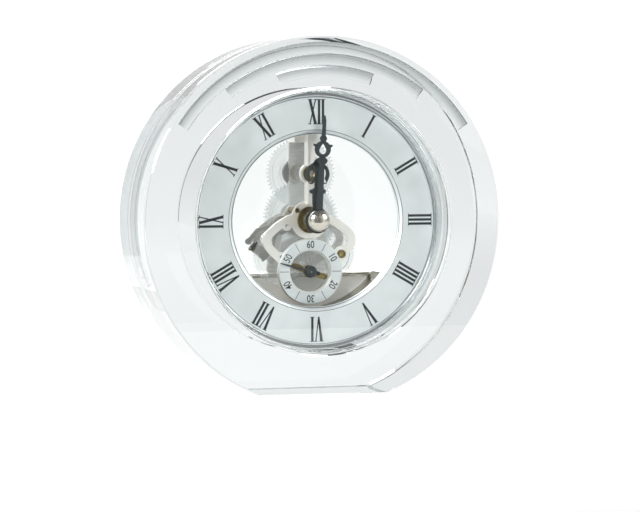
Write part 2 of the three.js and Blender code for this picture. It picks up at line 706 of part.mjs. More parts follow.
const screwHeadFront = REAR_PLATE_BACK + GAP / 2;
add("strap_screw", screw([0, STRAP_SCREW_HEIGHT], screwHeadFront, 5), steel);
add("leg_screw_left", screw([-LEG_SCREW_X, LEG_SCREW_HEIGHT], screwHeadFront, 5), steel);
add("leg_screw_right", screw([LEG_SCREW_X, LEG_SCREW_HEIGHT], screwHeadFront, 5), steel);

// ---- Motor: coil, stator and rotor ----

const COIL_START = [-22, -10.4];
const COIL_HEADING = [0.771, -0.637]; // along the coil, away from its upper end
const COIL_LENGTH = 7.8;
const COIL_RADIUS = 2.7;
const CORE_RADIUS = 1;
const CORE_OVERHANG = 0.6;
const STATOR_THICKNESS = 1;
const STATOR_LOBE = 1.4;
const ROTOR_RADIUS = 1.9;
const ROTOR_HOLE = 2.4;
const coilY = ROTOR_LEVEL + STATOR_THICKNESS / 2;

function alongCoil(length) {
  return [COIL_START[0] + COIL_HEADING[0] * length, COIL_START[1] + COIL_HEADING[1] * length];
}

// A solid turned about the coil's own axis, from a profile of [radius, length along the coil].
function aboutCoil(profile, segments) {
  const geometry = lying(profile, segments);
  geometry.rotateY(Math.atan2(-COIL_HEADING[1], COIL_HEADING[0]));
  geometry.translate(COIL_START[0], coilY, COIL_START[1]);
  return solid(geometry);
}

const coreEnd = COIL_LENGTH + CORE_OVERHANG;
add("coil_core", aboutCoil([
  [0, -CORE_OVERHANG], [CORE_RADIUS, -CORE_OVERHANG], [CORE_RADIUS, coreEnd], [0, coreEnd],
], PIN_FACETS), steel);

add("coil_winding", aboutCoil([
  [CORE_RADIUS + GAP, 0], [COIL_RADIUS, 0], [COIL_RADIUS, 0.6], [COIL_RADIUS - 0.4, 0.6],
  [COIL_RADIUS - 0.4, COIL_LENGTH - 0.6], [COIL_RADIUS, COIL_LENGTH - 0.6],
  [COIL_RADIUS, COIL_LENGTH], [CORE_RADIUS + GAP, COIL_LENGTH],
], DISC_FACETS), copperWinding);

function stator() {
  const back = ROTOR_LEVEL + STATOR_THICKNESS;
  const near = alongCoil(-CORE_OVERHANG - GAP - STATOR_LOBE);
  const far = alongCoil(coreEnd + GAP + STATOR_LOBE);
  const arm = (from, to, halfWidth) => link(from, to, halfWidth, ROTOR_LEVEL, back);
  const upperElbow = [-20, -4.5];
  const lowerElbow = [-12.9, -8];
  const lowerKnee = [-13.2, -13.3];
  const body = joined(
    disc(ROTOR_HOLE + 1.4, ROTOR_LEVEL, back, ROTOR_POST),
    disc(STATOR_LOBE, ROTOR_LEVEL, back, near, PIN_FACETS),
    disc(STATOR_LOBE, ROTOR_LEVEL, back, far, PIN_FACETS),
    arm(ROTOR_POST, upperElbow, 1), arm(upperElbow, near, 1),
    arm(ROTOR_POST, lowerElbow, 0.6), arm(lowerElbow, lowerKnee, 0.5), arm(lowerKnee, far, 0.5),
  );
  return body.subtract(disc(ROTOR_HOLE, ROTOR_LEVEL - 1, back + 1, ROTOR_POST));
}

add("stator", stator(), steel);

// ---- Gear train ----

// Tooth shapes, as [share of the pitch, height in modules from the pitch circle]. Pinion teeth
// have flat tips, and the fine teeth of the wheels are pointed.
const PINION_TOOTH = [[-0.29, -1.1], [-0.1, 0.6], [0.1, 0.6], [0.29, -1.1]];
const WHEEL_TOOTH = [[0, 0.9], [0.5, -1.1]];

// Module of a pair of gears that share a centre distance.
function moduleOf(placeA, placeB, teethA, teethB) {
  return (2 * distance(placeA, placeB)) / (teethA + teethB);
}

// Turn of gear B, in radians, that puts a gap of B where gear A has a tooth.
function meshTurn(placeA, placeB, teethA, teethB, turnA = 0) {
  const heading = Math.atan2(placeB[0] - placeA[0], placeB[1] - placeA[1]);
  return heading + Math.PI - ((turnA - heading) * teethA) / teethB + Math.PI / teethB;
}

// A toothed disc about the origin, with a tooth at the given clockwise turn from twelve.
function gear(tooth, teeth, size, front, turn = 0) {
  const outline = [];
  for (let number = 0; number < teeth; number += 1) {
    for (const [share, height] of tooth) {
      const angle = turn + (2 * Math.PI * (number + share)) / teeth;
      const radius = (teeth / 2 + height) * size;
      outline.push([radius * Math.sin(angle), radius * Math.cos(angle)]);
    }
  }
  return plate(outline.reverse(), front, front + GEAR_THICKNESS);
}

function pinion(teeth, size, front) {
  return gear(PINION_TOOTH, teeth, size, front);
}

function wheel(teeth, size, front, bore, turn) {
  const hole = disc(bore, front - 1, front + GEAR_THICKNESS + 1, CENTRE, PIN_FACETS);
  return gear(WHEEL_TOOTH, teeth, size, front, turn).subtract(hole);
}

// An arbor about the origin, from its front end to its back end.
function arbor(radius, front, back) {
  return disc(radius, front, back, CENTRE, PIN_FACETS);
}

// A group whose own origin is an arbor's place, so that a moving piece is made about its axis.
function post([x, z], degrees = 0) {
  const group = new THREE.Group();
  group.position.set(x, 0, z);
  group.rotation.y = radians(degrees);
  insert.add(group);
  return group;
}

const PIVOT_REACH = 0.9; // how far a fine arbor enters a plate
const fineFront = PLATE_THICKNESS - PIVOT_REACH;
const bridgeEnd = BRIDGE_FRONT + 0.6;
const plateEnd = REAR_PLATE_FRONT + PIVOT_REACH;
const fineBore = FINE_ARBOR_RADIUS + GAP;

const rotorGroup = post(ROTOR_POST);
const rotorModule = moduleOf(ROTOR_POST, STEP_POST, ROTOR_PINION_TEETH, STEP_WHEEL_TEETH);
add("rotor_pinion", joined(
  arbor(FINE_ARBOR_RADIUS, fineFront, bridgeEnd),
  pinion(ROTOR_PINION_TEETH, rotorModule, STEP_LEVEL),
), clearPlastic, rotorGroup);
add("rotor_magnet", ring(
  fineBore, ROTOR_RADIUS, ROTOR_LEVEL, ROTOR_LEVEL + STATOR_THICKNESS, CENTRE, PIN_FACETS,
), bondedFerrite, rotorGroup);

const stepGroup = post(STEP_POST);
const stepModule = moduleOf(STEP_POST, SECONDS_POST, STEP_PINION_TEETH, SECONDS_WHEEL_TEETH);
add("step_wheel", wheel(
  STEP_WHEEL_TEETH, rotorModule, STEP_LEVEL, fineBore,
  meshTurn(ROTOR_POST, STEP_POST, ROTOR_PINION_TEETH, STEP_WHEEL_TEETH),
), clearPlastic, stepGroup);
add("step_pinion", joined(
  arbor(FINE_ARBOR_RADIUS, fineFront, bridgeEnd),
  pinion(STEP_PINION_TEETH, stepModule, SECONDS_LEVEL),
), clearPlastic, stepGroup);

const secondsGroup = post(SECONDS_POST);
const thirdModule = moduleOf(SECONDS_POST, THIRD_POST, SECONDS_PINION_TEETH, THIRD_WHEEL_TEETH);
const SECONDS_ARBOR_FRONT = SECONDS_HAND_FRONT - 0.4;
add("seconds_wheel", wheel(
  SECONDS_WHEEL_TEETH, stepModule, SECONDS_LEVEL, fineBore,
  meshTurn(STEP_POST, SECONDS_POST, STEP_PINION_TEETH, SECONDS_WHEEL_TEETH),
), clearPlastic, secondsGroup);
add("seconds_pinion", joined(
  arbor(FINE_ARBOR_RADIUS, SECONDS_ARBOR_FRONT, bridgeEnd),
  pinion(SECONDS_PINION_TEETH, thirdModule, THIRD_LEVEL),
), clearPlastic, secondsGroup);

const thirdGroup = post(THIRD_POST);
const centreModule = moduleOf(THIRD_POST, CENTRE, THIRD_PINION_TEETH, CENTRE_WHEEL_TEETH);
add("third_wheel", wheel(
  THIRD_WHEEL_TEETH, thirdModule, THIRD_LEVEL, fineBore,
  meshTurn(SECONDS_POST, THIRD_POST, SECONDS_PINION_TEETH, THIRD_WHEEL_TEETH),
), clearPlastic, thirdGroup);
add("third_pinion", joined(
  arbor(FINE_ARBOR_RADIUS, fineFront, plateEnd),
  pinion(THIRD_PINION_TEETH, centreModule, CENTRE_LEVEL),
), clearPlastic, thirdGroup);

const centreGroup = post(CENTRE);
add("centre_wheel", wheel(
  CENTRE_WHEEL_TEETH, centreModule, CENTRE_LEVEL, ARBOR_RADIUS + GAP,
  meshTurn(THIRD_POST, CENTRE, THIRD_PINION_TEETH, CENTRE_WHEEL_TEETH),
), clearPlastic, centreGroup);
add("centre_arbor", arbor(ARBOR_RADIUS, MINUTE_HAND_FRONT, plateEnd), steel, centreGroup);

const minuteGroup = post(CENTRE);
const motionModule = moduleOf(CENTRE, MINUTE_POST, CANNON_TEETH, MINUTE_WHEEL_TEETH);
const cannonEnd = MINUTE_LEVEL + GEAR_THICKNESS;
add("cannon_pinion", joined(
  ring(PIPE_INNER, PIPE_OUTER, MINUTE_HAND_FRONT - GAP, cannonEnd + 0.3, CENTRE, PIN_FACETS),
  pinion(CANNON_TEETH, motionModule, MINUTE_LEVEL).subtract(
    disc(PIPE_INNER + PIPE_WALL / 2, MINUTE_LEVEL - 1, cannonEnd + 1, CENTRE, PIN_FACETS),
  ),
), clearPlastic, minuteGroup);

const minuteWheelGroup = post(MINUTE_POST);
const hourModule = moduleOf(MINUTE_POST, CENTRE, MINUTE_PINION_TEETH, HOUR_WHEEL_TEETH);
const KNOB_FRONT = REAR_COVER_FRONT - 0.3;
const KNOB_BACK = REAR_RING_BACK - 0.2;
const knobBoreEnd = KNOB_BACK - 0.6;
add("minute_wheel", wheel(
  MINUTE_WHEEL_TEETH, motionModule, MINUTE_LEVEL, ARBOR_RADIUS + GAP,
  meshTurn(CENTRE, MINUTE_POST, CANNON_TEETH, MINUTE_WHEEL_TEETH),
), clearPlastic, minuteWheelGroup);
add("minute_pinion", joined(
  arbor(ARBOR_RADIUS, bushFlangeBack - BUSH_FLANGE_THICKNESS, knobBoreEnd - GAP),
  pinion(MINUTE_PINION_TEETH, hourModule, HOUR_LEVEL),
), clearPlastic, minuteWheelGroup);
add("setting_knob", disc(KNOB_RADIUS, KNOB_FRONT, KNOB_BACK).subtract(
  disc(ARBOR_RADIUS + GAP, KNOB_FRONT - 1, knobBoreEnd, CENTRE, PIN_FACETS),
), blackPaint, minuteWheelGroup);

const hourGroup = post(CENTRE);
add("hour_wheel", joined(
  ring(
    HOUR_PIPE_INNER, HOUR_PIPE_OUTER,
    HOUR_HAND_FRONT - GAP, HOUR_LEVEL + GEAR_THICKNESS, CENTRE, PIN_FACETS,
  ),
  wheel(
    HOUR_WHEEL_TEETH, hourModule, HOUR_LEVEL, HOUR_PIPE_INNER + PIPE_WALL / 2,
    meshTurn(MINUTE_POST, CENTRE, MINUTE_PINION_TEETH, HOUR_WHEEL_TEETH),
  ),
), clearPlastic, hourGroup);

// ---- Hands ----

// A round stretch of outline about a point, by clockwise angles in degrees from twelve.
function arc([x, z], radius, start, end, steps) {
  const points = [];
  for (let i = 0; i <= steps; i += 1) {
    const turn = radians(start + ((end - start) * i) / steps);
    points.push([x + radius * Math.sin(turn), z + radius * Math.cos(turn)]);
  }
  return points;
}

// A hand's right side from its base up to its tip, mirrored to close the outline.
function mirrored(side) {
  return [...side, ...side.map(([x, z]) => [-x, z]).reverse()];
}

const HUB_RADIUS = 5.5;
const MINUTE_REACH = 43;
const MINUTE_LOOP_PLACE = [0, 29];
const HOUR_TIP = 25.5;
const HOUR_CRESCENT_PLACE = [0, 19];
const SECONDS_REACH = 13.7;
const SECONDS_TAIL = 3.2;
const SECONDS_HUB = 2.4;

function handBlade(side, front) {
  return plate(mirrored(side).reverse(), front, front + HAND_THICKNESS);
}

function minuteHand(front) {
  const back = front + HAND_THICKNESS;
  const bore = PIPE_OUTER + GAP;
  const blade = handBlade([
    [1.9, 3], [1.7, 12], [1.3, 24], [1, 32], [1, MINUTE_REACH - 1.5], [0.4, MINUTE_REACH],
  ], front);
  const loop = disc(3.2, front, back, MINUTE_LOOP_PLACE);
  const bulb = disc(1.9, front, back, [0, 34], PIN_FACETS);
  const window = disc(1.7, front - 1, back + 1, MINUTE_LOOP_PLACE, PIN_FACETS);
  return joined(blade, loop, bulb, disc(HUB_RADIUS, front, back))
    .subtract(window)
    .subtract(disc(bore, front - 1, back + 1, CENTRE, PIN_FACETS));
}

function hourHand(front) {
  const back = front + HAND_THICKNESS;
  const bore = HOUR_PIPE_OUTER + GAP;
  const blade = handBlade([[2.2, 3], [2.2, 12.6], [1.3, 15], [1, 22], [0.5, HOUR_TIP]], front);
  const crossbar = handBlade([[3.2, 11.6], [3.2, 12.5]], front);
  const [, crescentZ] = HOUR_CRESCENT_PLACE;
  const crescent = plate([
    ...arc(HOUR_CRESCENT_PLACE, 4.7, -125, 125, 16),
    ...arc([0, crescentZ - 0.6], 3.5, 115, -115, 14),
  ].reverse(), front, back);
  const bulb = disc(1.7, front, back, [0, 23.6], PIN_FACETS);
  return joined(blade, crossbar, crescent, bulb, disc(HUB_RADIUS, front, back))
    .subtract(disc(bore, front - 1, back + 1, CENTRE, PIN_FACETS));
}

function secondsHand(front) {
  const back = front + HAND_THICKNESS;
  const blade = handBlade([
    [0.5, -SECONDS_TAIL], [0.45, SECONDS_REACH * 0.8], [0.15, SECONDS_REACH],
  ], front);
  const hub = disc(SECONDS_HUB, front - GAP, back + GAP, CENTRE);
  return joined(blade, hub).subtract(disc(fineBore, front - 1, back + 1, CENTRE, PIN_FACETS));
}

const hourHandGroup = post(CENTRE, HOUR_ANGLE);
add("hour_hand", hourHand(HOUR_HAND_FRONT), blackPaint, hourHandGroup);

const minuteHandGroup = post(CENTRE, MINUTE_ANGLE);
add("minute_hand", minuteHand(MINUTE_HAND_FRONT), blackPaint, minuteHandGroup);

const secondsHandGroup = post(SECONDS_POST, SECONDS_ANGLE);
add("seconds_hand", secondsHand(SECONDS_HAND_FRONT), blackPaint, secondsHandGroup);

// A domed cap that covers the end of the pipes.
function handCap() {
  const base = MINUTE_HAND_FRONT - GAP * 2;
  const profile = [[0, base], [0, base - CAP_HEIGHT]];
  for (let i = 1; i <= 5; i += 1) {
    const turn = (Math.PI / 2) * (i / 5);
    profile.push([CAP_RADIUS * Math.sin(turn), base - CAP_HEIGHT * Math.cos(turn)]);
  }
  return turned(profile);
}

add("hand_cap", handCap(), polishedSilver, minuteHandGroup);

export default clock;
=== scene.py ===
import math

import bmesh
import bpy
import numpy as np
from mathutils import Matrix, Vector


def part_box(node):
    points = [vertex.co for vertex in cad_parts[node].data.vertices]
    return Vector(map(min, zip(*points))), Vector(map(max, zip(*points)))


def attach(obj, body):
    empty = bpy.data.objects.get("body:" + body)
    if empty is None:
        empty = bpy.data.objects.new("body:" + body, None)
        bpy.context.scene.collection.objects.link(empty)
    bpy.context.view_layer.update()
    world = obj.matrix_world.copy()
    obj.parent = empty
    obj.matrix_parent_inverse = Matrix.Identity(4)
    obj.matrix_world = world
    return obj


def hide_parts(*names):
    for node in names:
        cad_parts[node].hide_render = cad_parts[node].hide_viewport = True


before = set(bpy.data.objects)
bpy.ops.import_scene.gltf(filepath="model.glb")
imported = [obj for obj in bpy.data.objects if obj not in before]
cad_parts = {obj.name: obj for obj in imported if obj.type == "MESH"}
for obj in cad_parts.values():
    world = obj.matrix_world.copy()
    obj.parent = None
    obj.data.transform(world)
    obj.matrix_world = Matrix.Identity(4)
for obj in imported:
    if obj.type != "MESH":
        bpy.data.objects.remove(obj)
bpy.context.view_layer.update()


# ---- Camera ----
# A long lens from the clock's left, almost level with its axis. It aims a little below and to the
# left of the dial's centre, so the dial sits high and slightly right in the frame.

view_azimuth = math.radians(-16.83)
view_elevation = math.radians(2.3)
view_distance = 1.1
aim_below = 0.0138
aim_left = 0.0021

dial_low, dial_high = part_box("chapter_ring")
block_low, block_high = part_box("crystal_block")
axis_height = (dial_low.z + dial_high.z) / 2
toward_camera = Vector((
    math.sin(view_azimuth) * math.cos(view_elevation),
    -math.cos(view_azimuth) * math.cos(view_elevation),
    math.sin(view_elevation),
))
view_right = Vector((math.cos(view_azimuth), math.sin(view_azimuth), 0))
view_up = toward_camera.cross(view_right)
face_centre = Vector((0, block_low.y, axis_height))
aim = face_centre - aim_below * view_up - aim_left * view_right

camera_data = bpy.data.cameras.new("camera")
camera_data.lens = 153.2
camera_data.sensor_width = 36
camera = bpy.data.objects.new("camera", camera_data)
bpy.context.scene.collection.objects.link(camera)
camera.location = face_centre + view_distance * toward_camera
camera.rotation_euler = (aim - camera.location).to_track_quat("-Z", "Y").to_euler()
bpy.context.scene.camera = camera


# ---- Studio ----
# A white room: a glowing sweep under and behind the clock, a soft light over each shoulder of the
# camera and a wash from above the sweep. The ceiling, the side walls and the space behind the camera
# are darker, which draws the grey bands in polished crystal and keeps haze off the flat lens.


def linear(colour):
    """An sRGB hex colour as linear RGBA: the sRGB curve undone on each channel."""
    share = np.array([int(colour[i:i + 2], 16) for i in (1, 3, 5)]) / 255
    low = share / 12.92
    high = ((share + 0.055) / 1.055) ** 2.4
    return (*np.where(share <= 0.04045, low, high).tolist(), 1.0)


def add_node(tree, kind, inputs=None, **settings):
    """Adds one shader node. A socket among the inputs is linked, and any other value is set."""
    node = tree.nodes.new("ShaderNode" + kind)
    for name, value in settings.items():
        setattr(node, name, value)
    for name, value in (inputs or {}).items():
        if isinstance(value, bpy.types.NodeSocket):
            tree.links.new(value, node.inputs[name])
        else:
            node.inputs[name].default_value = value
    return node


world = bpy.data.worlds.new("white_studio")
bpy.context.scene.world = world
world.use_nodes = True
sky = world.node_tree
sky.nodes.clear()
direction = add_node(sky, "TexCoord").outputs["Generated"]
heading = add_node(sky, "SeparateXYZ", {"Vector": direction})
ceiling = add_node(sky, "MapRange", {
    "Value": heading.outputs["Z"], "From Min": 0.3, "From Max": 0.6, "To Min": 1.0, "To Max": 0.1,
}, interpolation_type="SMOOTHSTEP")
aside = add_node(sky, "Math", {0: heading.outputs["X"]}, operation="ABSOLUTE")
flags = add_node(sky, "MapRange", {
    "Value": aside.outputs["Value"], "From Min": 0.6, "From Max": 0.95, "To Min": 1.0, "To Max": 0.5,
}, interpolation_type="SMOOTHSTEP")
behind = add_node(sky, "MapRange", {
    "Value": heading.outputs["Y"], "From Min": -0.98, "From Max": -0.78, "To Min": 0.2, "To Max": 1.0,
}, interpolation_type="SMOOTHSTEP")
above = add_node(sky, "Math", {
    0: ceiling.outputs["Result"], 1: flags.outputs["Result"],
}, operation="MULTIPLY")
room = add_node(sky, "Math", {0: above.outputs["Value"], 1: behind.outputs["Result"]}, operation="MULTIPLY")
room_light = add_node(sky, "Background", {"Color": linear("#fdfefe"), "Strength": room.outputs["Value"]})
add_node(sky, "OutputWorld", {"Surface": room_light.outputs["Background"]})


def soft_light(name, place, aimed_at, size, power):
    """A square soft box that faces a point."""
    light = bpy.data.lights.new(name, "AREA")
    light.size = size
    light.energy = power
    lamp = bpy.data.objects.new(name, light)
    bpy.context.scene.collection.objects.link(lamp)
    lamp.location = place
    lamp.rotation_euler = (Vector(aimed_at) - Vector(place)).to_track_quat("-Z", "Y").to_euler()
    return lamp


soft_light("left_softbox", (-0.9, -0.9, 0.8), face_centre, 0.7, 14)
soft_light("right_softbox", (0.8, -0.6, 0.5), face_centre, 0.5, 5)
soft_light("back_wash", (0, 1.2, 1.0), (0, 0.2, 0), 1.0, 16)

# The sweep is one smooth sheet: flat under the clock, then a quarter circle up into a wall.
sweep_half = 3.0
sweep_radius = 0.8
sweep_front = -0.35
bend_start = 1.2
wall_top = 1.1
below_foot = 0.0004
rise = np.linspace(0, math.pi / 2, 17)
along = np.concatenate([
    [sweep_front], bend_start + sweep_radius * np.sin(rise), [bend_start + sweep_radius],
])
up = np.concatenate([[0.0], sweep_radius * (1 - np.cos(rise)), [wall_top]]) - below_foot
across = np.array([-sweep_half, sweep_half])
sweep_grid = np.stack(np.broadcast_arrays(across[:, None], along, up), -1)
sweep_faces = [(i, i + len(along), i + len(along) + 1, i + 1) for i in range(len(along) - 1)]
sweep_mesh = bpy.data.meshes.new("studio_sweep")
sweep_mesh.from_pydata(sweep_grid.reshape(-1, 3).tolist(), [], sweep_faces)
sweep_mesh.shade_smooth()
sweep = bpy.data.objects.new("studio_sweep", sweep_mesh)
bpy.context.scene.collection.objects.link(sweep)

# A matt mid-grey sheet that glows almost white, so that it stays even where the lamps miss it.
paper = bpy.data.materials.new("matt_white_paper")
paper.use_nodes = True
paper_shader = paper.node_tree.nodes["Principled BSDF"]
paper_shader.inputs["Base Color"].default_value = linear("#6a6a6a")
paper_shader.inputs["Roughness"].default_value = 0.9
paper_shader.inputs["Emission Color"].default_value = linear("#ffffff")
paper_shader.inputs["Emission Strength"].default_value = 0.9
sweep_mesh.materials.append(paper)

bpy.context.scene.view_settings.view_transform = "Standard"
bpy.context.scene.cycles.max_bounces = 24
bpy.context.scene.cycles.transmission_bounces = 24
bpy.context.scene.cycles.glossy_bounces = 8


# ---- Crystal block ----
# A thick disc of clear optical glass, cast, then ground and polished flat on both faces and along
# its foot. Its bore is core-drilled and polished, and three arched coves are cut over the dial,
# each wider than the one inside it.

axis_place = np.array([0, 0, axis_height])


def reach(node):
    """A CAD node's lowest and highest corners in millimetres, measured from the clock's axis."""
    low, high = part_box(node)
    return (np.array(low) - axis_place) * 1000, (np.array(high) - axis_place) * 1000


def new_material(name, colour, roughness, metallic=0.0, **constants):
    """A material with its constants on the shader's own sockets. Returns its tree and shader too."""
    material = bpy.data.materials.new(name)
    material.use_nodes = True
    shader = material.node_tree.nodes["Principled BSDF"]
    shader.inputs["Base Color"].default_value = linear(colour)
    shader.inputs["Roughness"].default_value = roughness
    shader.inputs["Metallic"].default_value = metallic
    for socket, value in constants.items():
        shader.inputs[socket.replace("_", " ")].default_value = value
    return material, material.node_tree, shader


def joined(grids):
    """The points and four-cornered faces of several grids. Each closes on itself both ways."""
    corners, quads, start = [], [], 0
    for grid in grids:
        rows, columns = grid.shape[:2]
        index = start + np.arange(rows * columns).reshape(rows, columns)
        right = np.roll(index, -1, 1)
        ring = np.stack([index, right, np.roll(right, -1, 0), np.roll(index, -1, 0)], -1)
        quads.append(ring.reshape(-1, 4))
        corners.append(grid.reshape(-1, 3))
        start += rows * columns
    return np.concatenate(corners), np.concatenate(quads).tolist()


def piece(name, grids, material, body, replaced=(), crease=28):
    """One mesh from closed grids of points in millimetres about the clock's axis. Doubles are
    merged, and edges sharper than crease stay sharp."""
    points, quads = joined(grids)
    mesh = bpy.data.meshes.new(name)
    mesh.from_pydata((points / 1000 + axis_place).tolist(), [], quads)
    shape = bmesh.new()
    shape.from_mesh(mesh)
    bmesh.ops.remove_doubles(shape, verts=shape.verts, dist=1e-6)
    bmesh.ops.dissolve_degenerate(shape, edges=shape.edges, dist=1e-7)
    bmesh.ops.recalc_face_normals(shape, faces=shape.faces)
    shape.to_mesh(mesh)
    shape.free()
    return placed(name, mesh, material, body, replaced, crease)


def placed(name, mesh, material, body, replaced=(), crease=28):
    """Puts a finished mesh on its CAD body, with its material and what it stands for."""
    mesh.shade_smooth()
    mesh.set_sharp_from_angle(angle=math.radians(crease))
    mesh.materials.clear()
    mesh.materials.append(material)
    thing = bpy.data.objects.new(name, mesh)
    bpy.context.scene.collection.objects.link(thing)
    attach(thing, body)
    if replaced:
        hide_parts(*replaced)
    return thing


def turned(profile, place=(0, 0), count=180):
    """A profile of [radius, y] carried round an axis along Y: x = r sin a and z = r cos a."""
    radius, depth = np.array(profile, float).T
    angle = np.linspace(0, 2 * math.pi, count, endpoint=False)[:, None]
    x = place[0] + radius * np.sin(angle)
    z = place[1] + radius * np.cos(angle)
    return np.stack([x, np.broadcast_to(depth, x.shape), z], -1)


block_low, block_high = reach("crystal_block")
block_radius = block_high[0]
block_front, block_back = block_low[1], block_high[1]
foot_drop = -block_low[2]
insert_gap = 0.3
bore_radius = reach("bezel_ring")[1][0] + insert_gap
edge_bevel = 0.8
foot_bevel = 0.25
bore_bevel = 0.35
step_count = 3
step_arc = 19.0
step_depth = 1.5
inner_land = 4.5
outer_land = 2.4
step_width = (block_radius - bore_radius - inner_land - outer_land) / step_count
cove_turn = np.linspace(math.pi / 2, 0, 11)

# Columns run round the block by angle from twelve o'clock. An arch's end has two columns at one
# angle, inside and outside the arch, so that its end wall stands square.
hair = 1e-4
arch_ends = step_arc * np.array([-3, -2, -1, 1, 2, 3])
foot_corner = 180 - math.degrees(math.acos(foot_drop / block_radius))
turns = np.concatenate([
    np.arange(-180, 180, 1.0), arch_ends - hair, arch_ends + hair, [-foot_corner, foot_corner],
])
turns = np.unique(turns[~np.isin(turns, arch_ends)])
angle = np.radians(np.round(turns, 3))
edge_radius = np.minimum(block_radius, foot_drop / np.maximum(-np.cos(angle), 0.05))

rim_bevel = np.where(np.abs(turns) >= foot_corner, foot_bevel, edge_bevel)

radii = [np.full_like(angle, bore_radius), np.full_like(angle, bore_radius + bore_bevel)]
depths = [np.full_like(angle, block_front + bore_bevel), np.full_like(angle, block_front)]
for number in range(step_count):
    inside = (np.abs(turns) < step_arc * (number + 1)) * step_depth
    inner = bore_radius + inner_land + number * step_width
    tread = inner + step_width / 2
    radii += [np.full_like(angle, inner), np.full_like(angle, inner)]
    depths += [np.full_like(angle, block_front), block_front + inside]
    for turn in cove_turn:
        radii.append(np.full_like(angle, tread + step_width / 2 * math.cos(turn)))
        depths.append(block_front + inside * math.sin(turn))
radii = [np.minimum(row, edge_radius - rim_bevel) for row in radii]
radii += [edge_radius - rim_bevel, edge_radius, edge_radius, edge_radius - rim_bevel]
depths += [np.full_like(angle, block_front), block_front + rim_bevel, block_back - rim_bevel]
depths += [np.full_like(angle, block_back)]
radii += [np.full_like(angle, bore_radius + bore_bevel), np.full_like(angle, bore_radius)]
depths += [np.full_like(angle, y) for y in (block_back, block_back - bore_bevel)]
radii, depths = np.array(radii).T, np.array(depths).T
block_grid = np.stack([radii * np.sin(angle)[:, None], depths, radii * np.cos(angle)[:, None]], -1)



def noise(tree, size, detail=2.0, place=None, **sockets):
    """Noise on Object coordinates, or on a place given, with features about size metres across."""
    if place is None:
        place = add_node(tree, "TexCoord").outputs["Object"]
    inputs = {"Vector": place, "Scale": 1 / size, "Detail": detail, **sockets}
    return add_node(tree, "TexNoise", inputs).outputs["Fac"]


def vary_roughness(tree, shader, pattern, smooth, rough, start=0.0, end=1.0):
    """Roughness runs from smooth to rough while the pattern runs from start to end."""
    spread = add_node(tree, "MapRange", {
        "Value": pattern, "From Min": start, "From Max": end, "To Min": smooth, "To Max": rough,
    })
    tree.links.new(spread.outputs["Result"], shader.inputs["Roughness"])


def vary_colour(tree, shader, pattern, first, last, start=0.0, end=1.0):
    """The base colour runs from first to last while the pattern runs from start to end."""
    ramp = add_node(tree, "ValToRGB", {"Fac": pattern})
    ramp.color_ramp.elements[0].position = start
    ramp.color_ramp.elements[0].color = linear(first)
    ramp.color_ramp.elements[1].position = end
    ramp.color_ramp.elements[1].color = linear(last)
    tree.links.new(ramp.outputs["Color"], shader.inputs["Base Color"])
    return ramp


def from_clock_axis(tree, scale=(1, 1, 1)):
    """Object coordinates moved so that the clock's axis is their zero."""
    return add_node(tree, "Mapping", {
        "Vector": add_node(tree, "TexCoord").outputs["Object"],
        "Location": (0, 0, -axis_height), "Scale": scale,
    }).outputs["Vector"]


# Optical crystal: clear and colourless, with a high polish. Faint smears dull it here and there,
# about 30 mm across, as handling leaves on any polished block.
optical_crystal, tree, shader = new_material(
    "polished_optical_crystal", "#e5e9e9", 0.0, IOR=1.52, Transmission_Weight=1.0,
)
vary_roughness(tree, shader, noise(tree, 0.03, 3.0), 0.0, 0.02, 0.5, 0.8)

block = piece("polished_block", [block_grid], optical_crystal, "clock", ["crystal_block"])
# Real light passes through clear glass. Its shadow would come out too dark, so it is left out
# here and on each clear piece below.
block.visible_shadow = False

# The arched coves are left satin from the grinding wheel. Their glass is also tinted with painted shade, pale
# at the inner edge of each cove and dark grey at its outer edge, so each reads as a soft grey band that
# darkens outwards.
cove_satin_and_painted_shade, tree, shader = new_material(
    "cove_satin_and_painted_shade_crystal", "#e3e8e8", 0.3, IOR=1.52, Transmission_Weight=1.0,
)
from_centre = add_node(tree, "VectorMath", {
    0: from_clock_axis(tree, (1, 0, 1)),
}, operation="LENGTH").outputs["Value"]
across_coves = add_node(tree, "MapRange", {
    "Value": from_centre, "From Min": (bore_radius + inner_land) / 1000,
    "From Max": (block_radius - outer_land) / 1000, "To Min": 0.0, "To Max": float(step_count),
}, clamp=False).outputs["Result"]
across_one = add_node(tree, "Math", {0: across_coves}, operation="FRACT").outputs["Value"]
# Painted shade: the cove glass is tinted darker towards the outer edge of each cove.
vary_colour(tree, shader, across_one, "#dde3e3", "#727979", 0.1, 0.85)
vary_roughness(tree, shader, noise(tree, 0.002, 3.0), 0.12, 0.3)
block.data.materials.append(cove_satin_and_painted_shade)
centres = np.zeros(len(block.data.polygons) * 3)
block.data.polygons.foreach_get("center", centres)
centres = centres.reshape(-1, 3) * 1000 - axis_place * 1000
from_axis = np.hypot(centres[:, 0], centres[:, 2])
in_cove = (centres[:, 1] > block_front + 0.01) & (centres[:, 1] < block_front + step_depth + 0.01)
in_cove &= (from_axis > bore_radius + inner_land - 0.1) & (from_axis < block_radius - outer_land + 0.1)
block.data.polygons.foreach_set("material_index", in_cove.astype(np.int32))


# ---- Bezel, lens and seal ----
# The bezel is a thin brass ring, turned and bright plated, which holds the dial ring in the bore.
# The lens is a flat disc of mineral glass, flush with the block's face in a clear silicone seal.

